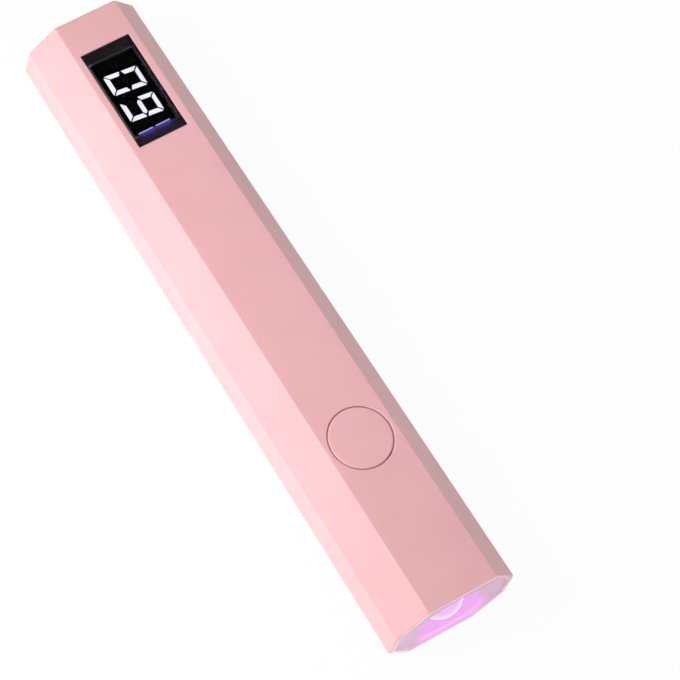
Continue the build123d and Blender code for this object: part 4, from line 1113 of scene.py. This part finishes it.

# %% [markdown]
# ## The snap dome
# Under the switch's plunger lies a thin cap of spring steel. It is what clicks: pressed, it flattens
# against the switch's floor, and let go, it pushes the button up again. It is a slice of a hollow ball,
# turned about the button's axis. A stiff cap like this would cut through the plunger at the pressed pose.

# %% Snap dome
DOME_WALL = 0.1
dome_low, dome_high = corners("switch_dome")
dome_radius, dome_rise = (dome_high.x - dome_low.x) / 2, dome_high.z - dome_low.z
ball = (dome_radius ** 2 + dome_rise ** 2) / (2 * dome_rise)
ball_z = dome_high.z - ball
outer_start, inner_start = (math.degrees(math.asin((dome_low.z - ball_z) / radius))
                            for radius in (ball, ball - DOME_WALL))
dome_profile = [(0, dome_high.z)] + arc(0, ball_z, ball, 90, outer_start, 12)[1:]
dome_profile += arc(0, ball_z, ball - DOME_WALL, inner_start, 90, 12)[:-1] + [(0, dome_high.z - DOME_WALL)]
snap_dome = piece("snap_dome", [moved(turned(dome_profile, 64), lambda point: (
    point.x + button_x, point.y, point.z))], spring_steel, "switch_dome", crisp=40)
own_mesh(snap_dome)

# %% [markdown]
# ## Display pins and socket contacts
# A pin is drawn wire with a rounded tip, and under the board the solder climbs it in a small cone.
# A contact is a gold-plated blade whose nose is thinned, so that a plug slides over it.

# %% Pins
TIP = 0.1
# how much wider than the pin the solder is, and how far under the board, from its top to the board
SOLDER = ((0, 0.4), (0.03, 0.3), (0.1, 0.14), (0.22, 0.03), (0.22, 0), (0, 0))
pins = loose_parts("display_pins")
pin_middle, pin_size = pins[0]
pin_half, pin_radius = pin_size.z / 2, pin_size.x / 2
under_board = board_low.z - pin_middle.z
pin_profile = [(0, -pin_half)] + [(pin_radius * math.sin(a), -pin_half + TIP * (1 - math.cos(a)))
                                  for a in (math.pi / 6, math.pi / 3, math.pi / 2)]
pin_profile += [(pin_radius + wider, under_board - lower) for wider, lower in SOLDER]
pin_profile += [(pin_radius, pin_half), (0, pin_half)]
copies("soldered_pins", [turned(pin_profile, 20)], [(middle, (0, 0, 0)) for middle, size in pins], tin,
       "display_pins")

# %% Contacts
# the nose: distance from the blade's end, and shares of its width and thickness
NOSE = ((0, 0.6, 0.3), (0.12, 0.85, 0.6), (0.3, 1, 1))
contacts = loose_parts("socket_contacts")
blade_long, blade_wide, blade_thick = contacts[0][1]
blade = [[(x - blade_long / 2, side * wide * blade_wide / 2, (rise * thick - 0.5) * blade_thick)
          for side, rise in ((-1, 0), (1, 0), (1, 1), (-1, 1))]
         for x, wide, thick in NOSE + ((blade_long, 1, 1),)]
tongue_z = sum(middle.z for middle, size in contacts) / len(contacts)
copies("contact_blades", [lofted(blade)],
       [(middle, (0 if middle.z > tongue_z else math.pi, 0, 0)) for middle, size in contacts], gold,
       "socket_contacts")

# %% [markdown]
# ## Screws
# Small zinc-plated pan-head screws hold the boards and the heat sink. The thread is a true helix: a ring's
# radius swells and shrinks with the turn angle and the height together. The cross recess is a ring in the
# form of a cross that goes down and narrows. All rings have the same number of points, so one loft makes
# the whole screw.

# %% A screw as one loft
AROUND = 48
THREAD_PITCH, THREAD_DEPTH, RINGS_PER_TURN = 0.5, 0.12, 8
SHANK, HEAD, HEAD_RADIUS = 0.6, 0.8, 1.2
TIP_SHARE, TIP_LENGTH = 0.35, 0.8
HEAD_EDGE, ROUND_OUT, ROUND_UP = 0.05, 0.5, 0.42
# the cross: half its length and half a slot's width, at depths under the head's top
RECESS = ((0.58, 0.13, 0), (0.4, 0.1, 0.3), (0.2, 0.05, 0.34))


def cross(arm, half_slot):
    """The rule of a cross: how far its edge lies from the middle at an angle."""
    def reach(angle):
        minor, major = sorted((abs(math.cos(angle)), abs(math.sin(angle))))
        return max(min(arm / major, half_slot / max(minor, 1e-6)), half_slot / major)
    return reach


def thread(level, taper):
    """The rule of the helix at a height: its radius depends on the angle."""
    def reach(angle):
        phase = (level / THREAD_PITCH - angle / (2 * math.pi)) % 1
        return (SHANK - THREAD_DEPTH * abs(2 * phase - 1)) * taper
    return reach


def screw_shell(shank):
    """A screw whose head sits on z = 0, with its shank below."""
    rings = [ring(0.06, -shank, AROUND)]
    steps = int(shank / THREAD_PITCH * RINGS_PER_TURN)
    for share in [k / steps for k in range(1, steps)]:
        level = -shank + shank * share
        taper = min(1, TIP_SHARE + (1 - TIP_SHARE) * share * shank / TIP_LENGTH)
        rings.append(ring(thread(level, taper), level, AROUND))
    head = [(SHANK - 0.03, -0.02), (HEAD_RADIUS - HEAD_EDGE, 0), (HEAD_RADIUS, HEAD_EDGE)]
    head += [(HEAD_RADIUS - ROUND_OUT * (1 - math.cos(a)), HEAD - ROUND_UP * (1 - math.sin(a)))
             for a in [math.pi / 2 * k / 6 for k in range(7)]]
    head += [(cross(arm, half_slot), HEAD - depth) for arm, half_slot, depth in RECESS]
    return lofted(rings + [ring(reach, level, AROUND) for reach, level in head])


print("a screw of 3 mm has", len(screw_shell(3)[1]), "faces")

# %% Every screw
for name, node, axis, way in (("board_pan_screws", "board_screws", 2, 1),
                              ("light_pan_screws", "light_board_screws", 0, 1),
                              ("sink_pan_screws", "heat_sink_screws", 0, -1)):
    low, high = (corner[axis] for corner in corners(node))
    places = []
    for middle, size in loose_parts(node):
        middle[axis] = high - HEAD if way > 0 else low + HEAD
        places.append((middle, (0, way * math.pi / 2 if axis == 0 else 0, 0)))
    copies(name, [screw_shell(high - low - HEAD)], places, zinc, node, spin=math.pi)

# %% [markdown]
# ## Resistors and capacitors
# A chip resistor is a sliver of white alumina with a black coat and two tinned ends. A chip capacitor is a
# fired block of sand-coloured ceramic. Both are rounded boxes whose ends are a hair larger than the middle.

# %% Rounded blocks
END_SHARE, END_STEP, BODY_EDGE, END_EDGE = 0.2, 0.06, 0.03, 0.05


def rounded_block(size, middle_x, edge):
    """A block with rounded long edges and bevelled ends, with its middle on the x axis."""
    half = [s / 2 for s in size]
    rings = []
    for x, shrink in ((-half[0], edge), (-half[0] + edge, 0), (half[0] - edge, 0), (half[0], edge)):
        flat_y, flat_z = half[1] - shrink - edge, half[2] - shrink - edge
        rings.append([(middle_x + x, side * flat_y + u, rise * flat_z + v)
                      for side, rise, start in ((1, 1, 0), (-1, 1, 90), (-1, -1, 180), (1, -1, 270))
                      for u, v in arc(0, 0, edge, start, start + 90, 4)])
    return lofted(rings)


for node, name, material in (("chip_resistors", "resistor", resistor_coat),
                             ("chip_capacitors", "capacitor", capacitor_body)):
    parts = loose_parts(node)
    first_size = parts[0][1]
    long, wide, tall = sorted(first_size, reverse=True)
    end = long * END_SHARE
    along = 0 if first_size.x > first_size.y else math.pi / 2
    places = [(middle, (0, 0, along)) for middle, size in parts]
    body = rounded_block((long - end, wide - END_STEP, tall - END_STEP), 0, BODY_EDGE)
    copies(name + "_bodies", [body], places, material, node)
    ends = [rounded_block((end, wide, tall), side * (long - end) / 2, END_EDGE) for side in (-1, 1)]
    copies(name + "_ends", ends, places, tin, node)

# %% [markdown]
# ## The coil's winding
# Enamelled copper wire is wound in layers round the ferrite bobbin, turn beside turn. A second Geometry
# Nodes tree makes a spiral for each layer, sweeps a round wire along it, and joins the layers.

# %% The winding tree
LAYERS = 3
winding_tree, inputs, winding_keys = new_tree("wound_coil", "Start", "Winding", Wire="Float",
                                              Outer="Float", Height="Float", Turns="Float",
                                              Finish="Material")
half_wire = add(winding_tree, "ShaderNodeMath", {0: inputs["Wire"], 1: 0.49}, operation="MULTIPLY")
wire_round = add(winding_tree, "GeometryNodeCurvePrimitiveCircle", {"Resolution": 10, "Radius": half_wire})
joined = add(winding_tree, "GeometryNodeJoinGeometry")
for layer in range(LAYERS):
    depth = add(winding_tree, "ShaderNodeMath", {0: inputs["Wire"], 1: layer + 0.5}, operation="MULTIPLY")
    radius = add(winding_tree, "ShaderNodeMath", {0: inputs["Outer"], 1: depth}, operation="SUBTRACT")
    spiral = add(winding_tree, "GeometryNodeCurveSpiral", {
        "Resolution": 40, "Rotations": inputs["Turns"], "Start Radius": radius, "End Radius": radius,
        "Height": inputs["Height"], "Reverse": layer % 2 == 1})
    wire = add(winding_tree, "GeometryNodeCurveToMesh",
               {"Curve": spiral, "Profile Curve": wire_round, "Fill Caps": True})
    feed(winding_tree, joined, {0: wire})
end_tree(winding_tree, joined, inputs["Finish"])
print("the winding tree has", len(winding_tree.nodes), "nodes for", LAYERS, "layers")

# %% The winding on its bobbin
WIRE = 0.2
winding_low, winding_high = corners("coil_winding")
rise = winding_high.z - winding_low.z - WIRE
winding_mesh = grown("winding", winding_tree, winding_keys, bpy.data.meshes.new("winding_start"),
                     Wire=WIRE * MM, Outer=(winding_high.x - winding_low.x) / 2 * MM, Height=rise * MM,
                     Turns=rise / WIRE, Finish=copper)
winding_foot = Vector(((winding_low.x + winding_high.x) / 2, 0, winding_low.z + WIRE / 2))
winding_mesh.transform(Matrix.Translation(winding_foot * MM))
settle("copper_winding", winding_mesh, copper, "coil_winding")

# %% [markdown]
# ## The battery and its foam
# A pouch cell is soft: its foil is drawn over the stack, so its sides belly out a little and its corners
# are round. The foam strip under it is squeezed between the cell and the floor, so it is flat above and
# below and its sides bulge. Both are lofts of rounded sections whose corners sharpen or soften by one
# exponent.


# %% Soft sections
def soft_block(low, high, corner, belly, ends, stations=41, around=64):
    """A block with full, rounded sections. Corner is the section's exponent, ends the rounding in mm."""
    middle, half = (low + high) / 2, (high - low) / 2
    rings = []
    for k in range(stations):
        share = -math.cos(math.pi * k / (stations - 1))
        inside = max(0.0, abs(half.x * share) - (half.x - ends)) / ends
        close = ends * (1 - math.sqrt(1 - min(inside, 0.999) ** 2))
        made = []
        for angle in [2 * math.pi * (i + 0.5) / around for i in range(around)]:
            c, s = math.cos(angle), math.sin(angle)
            grow = (abs(c) ** corner + abs(s) ** corner) ** (-1 / corner)
            full = 1 - belly * share ** 2 * abs(c)
            made.append((middle.x + half.x * share, middle.y + c * grow * (half.y - close) * full,
                         middle.z + s * grow * (half.z - close)))
        rings.append(made)
    return lofted(rings)


# %% Pouch cell and foam
# aluminium foil under clear nylon: silver grey, half glossy, with soft dents half a millimetre wide
foil = finish("pouch_foil", ("#B9BCC0", "#A7ABB0"), patch=5, rough=(0.26, 0.42), grain=0.5, relief=0.02,
              shader={"Metallic": 0.9})
piece("pouch_cell", [soft_block(*corners("battery_cell"), 7, 0.03, 0.7)], foil, "battery_cell", crisp=60)
# polyurethane foam: dark grey and quite dull, pitted by its open cells
foam = finish("grey_foam", ("#4E5156", "#5C5F65"), patch=1, rough=(0.85, 0.98), grain=0.22, relief=0.06)
foam_strip = piece("foam_strip", [soft_block(*corners("foam_pad"), 5, 0.01, 0.3)], foam, "foam_pad",
                   crisp=60)

# %% [markdown]
# ## The light
# The photograph is lit by a large soft lamp from the near long side, about halfway up, in a
# white room. The room's light is the world's colour: it lights the object at half strength, and shows as
# full white where the camera, a reflection or a clear pane looks at it. The floor is white card, of which
# the camera sees mostly plain white and a trace of the object's shadow. A strip of bounced light beside
# the object makes its upright side paler than the slanting one above it, as the photograph has it. Weak
# fills open up the light end, the tail and the far side. No lamp is mirrored in the object: only the
# room is, because the photograph shows no lamp in the satin plastic.

# %% World
ROOM_LIGHT, ROOM_SEEN = 0.5, 1.0
world = bpy.data.worlds.new("white_room")
bpy.context.scene.world = world
tree = empty_tree(world)
path = add(tree, "ShaderNodeLightPath").outputs
seen = add(tree, "ShaderNodeMath", {0: path["Is Camera Ray"], 1: path["Is Glossy Ray"]}, operation="ADD")
seen = add(tree, "ShaderNodeMath", {0: seen, 1: path["Is Transmission Ray"]}, operation="ADD",
           use_clamp=True)
strength = add(tree, "ShaderNodeMapRange", {0: seen, 3: ROOM_LIGHT, 4: ROOM_SEEN})
add(tree, "ShaderNodeOutputWorld", {0: add(tree, "ShaderNodeBackground", {0: "#FFFFFF", 1: strength})})
print("the room lights at", ROOM_LIGHT, "and is seen at", ROOM_SEEN)

# %% Floor
# matt white card with a faint mottle. It lies a hair under the object, so that no two faces coincide
FLOOR_HALF, FLOOR_LOW, FLOOR_WHITE = 2000, -0.02, 0.95
card, tree, place = new_material("white_card")
grain = add(tree, "ShaderNodeTexNoise", {"Vector": place, "Scale": 1 / (2 * MM)})
card_tone = add(tree, "ShaderNodeMix", {0: grain, 6: "#F6F6F6", 7: "#F2F2F2"}, data_type="RGBA")
paper = add(tree, "ShaderNodeBsdfDiffuse", {"Color": card_tone})
white = add(tree, "ShaderNodeEmission", {"Color": "#FFFFFF", "Strength": 1.0})
to_camera = add(tree, "ShaderNodeLightPath").outputs["Is Camera Ray"]
share = add(tree, "ShaderNodeMath", {0: to_camera, 1: FLOOR_WHITE}, operation="MULTIPLY")
mixed = add(tree, "ShaderNodeMixShader", {0: share, 1: paper, 2: white})
add(tree, "ShaderNodeOutputMaterial", {0: mixed})
floor_mesh = bpy.data.meshes.new("floor")
floor_corners = rectangle((-FLOOR_HALF, -FLOOR_HALF), (FLOOR_HALF, FLOOR_HALF), FLOOR_LOW)
floor_mesh.from_pydata([point * MM for point in floor_corners], [], [(0, 1, 2, 3)])
floor_mesh.materials.append(card)
in_scene("floor", floor_mesh)
print("floor at height", FLOOR_LOW)


# %% Lamps
def lamp(name, place, aim, size, watts):
    """A soft oblong lamp that is neither seen nor mirrored. Place, aim and size are in millimetres."""
    data = bpy.data.lights.new(name, "AREA")
    data.shape = "RECTANGLE"
    data.size, data.size_y = size[0] * MM, size[1] * MM
    data.energy = watts
    made = in_scene(name, data)
    aimed = (Vector(aim) - Vector(place)).to_track_quat("-Z", "Y")
    made.matrix_world = Matrix.LocRotScale(Vector(place) * MM, aimed, None)
    made.visible_camera = made.visible_glossy = False
    print(name, watts, "W")


lamp("key_lamp", (-20, -122, 112), (-8, 0, 8), (110, 110), 0.228)
lamp("end_fill", (420, -40, 12), (51, 0, 8), (220, 220), 0.7)
lamp("bounce_card", (0, -22, 0.6), (0, -22, 50), (112, 18), 0.0048)
lamp("tail_fill", (-80, -125, 32), (-45, 0, 10), (60, 50), 0.018)
lamp("far_fill", (40, 150, 40), (15, 8, 10), (160, 50), 0.0285)
bpy.context.scene.view_settings.view_transform = "Standard"
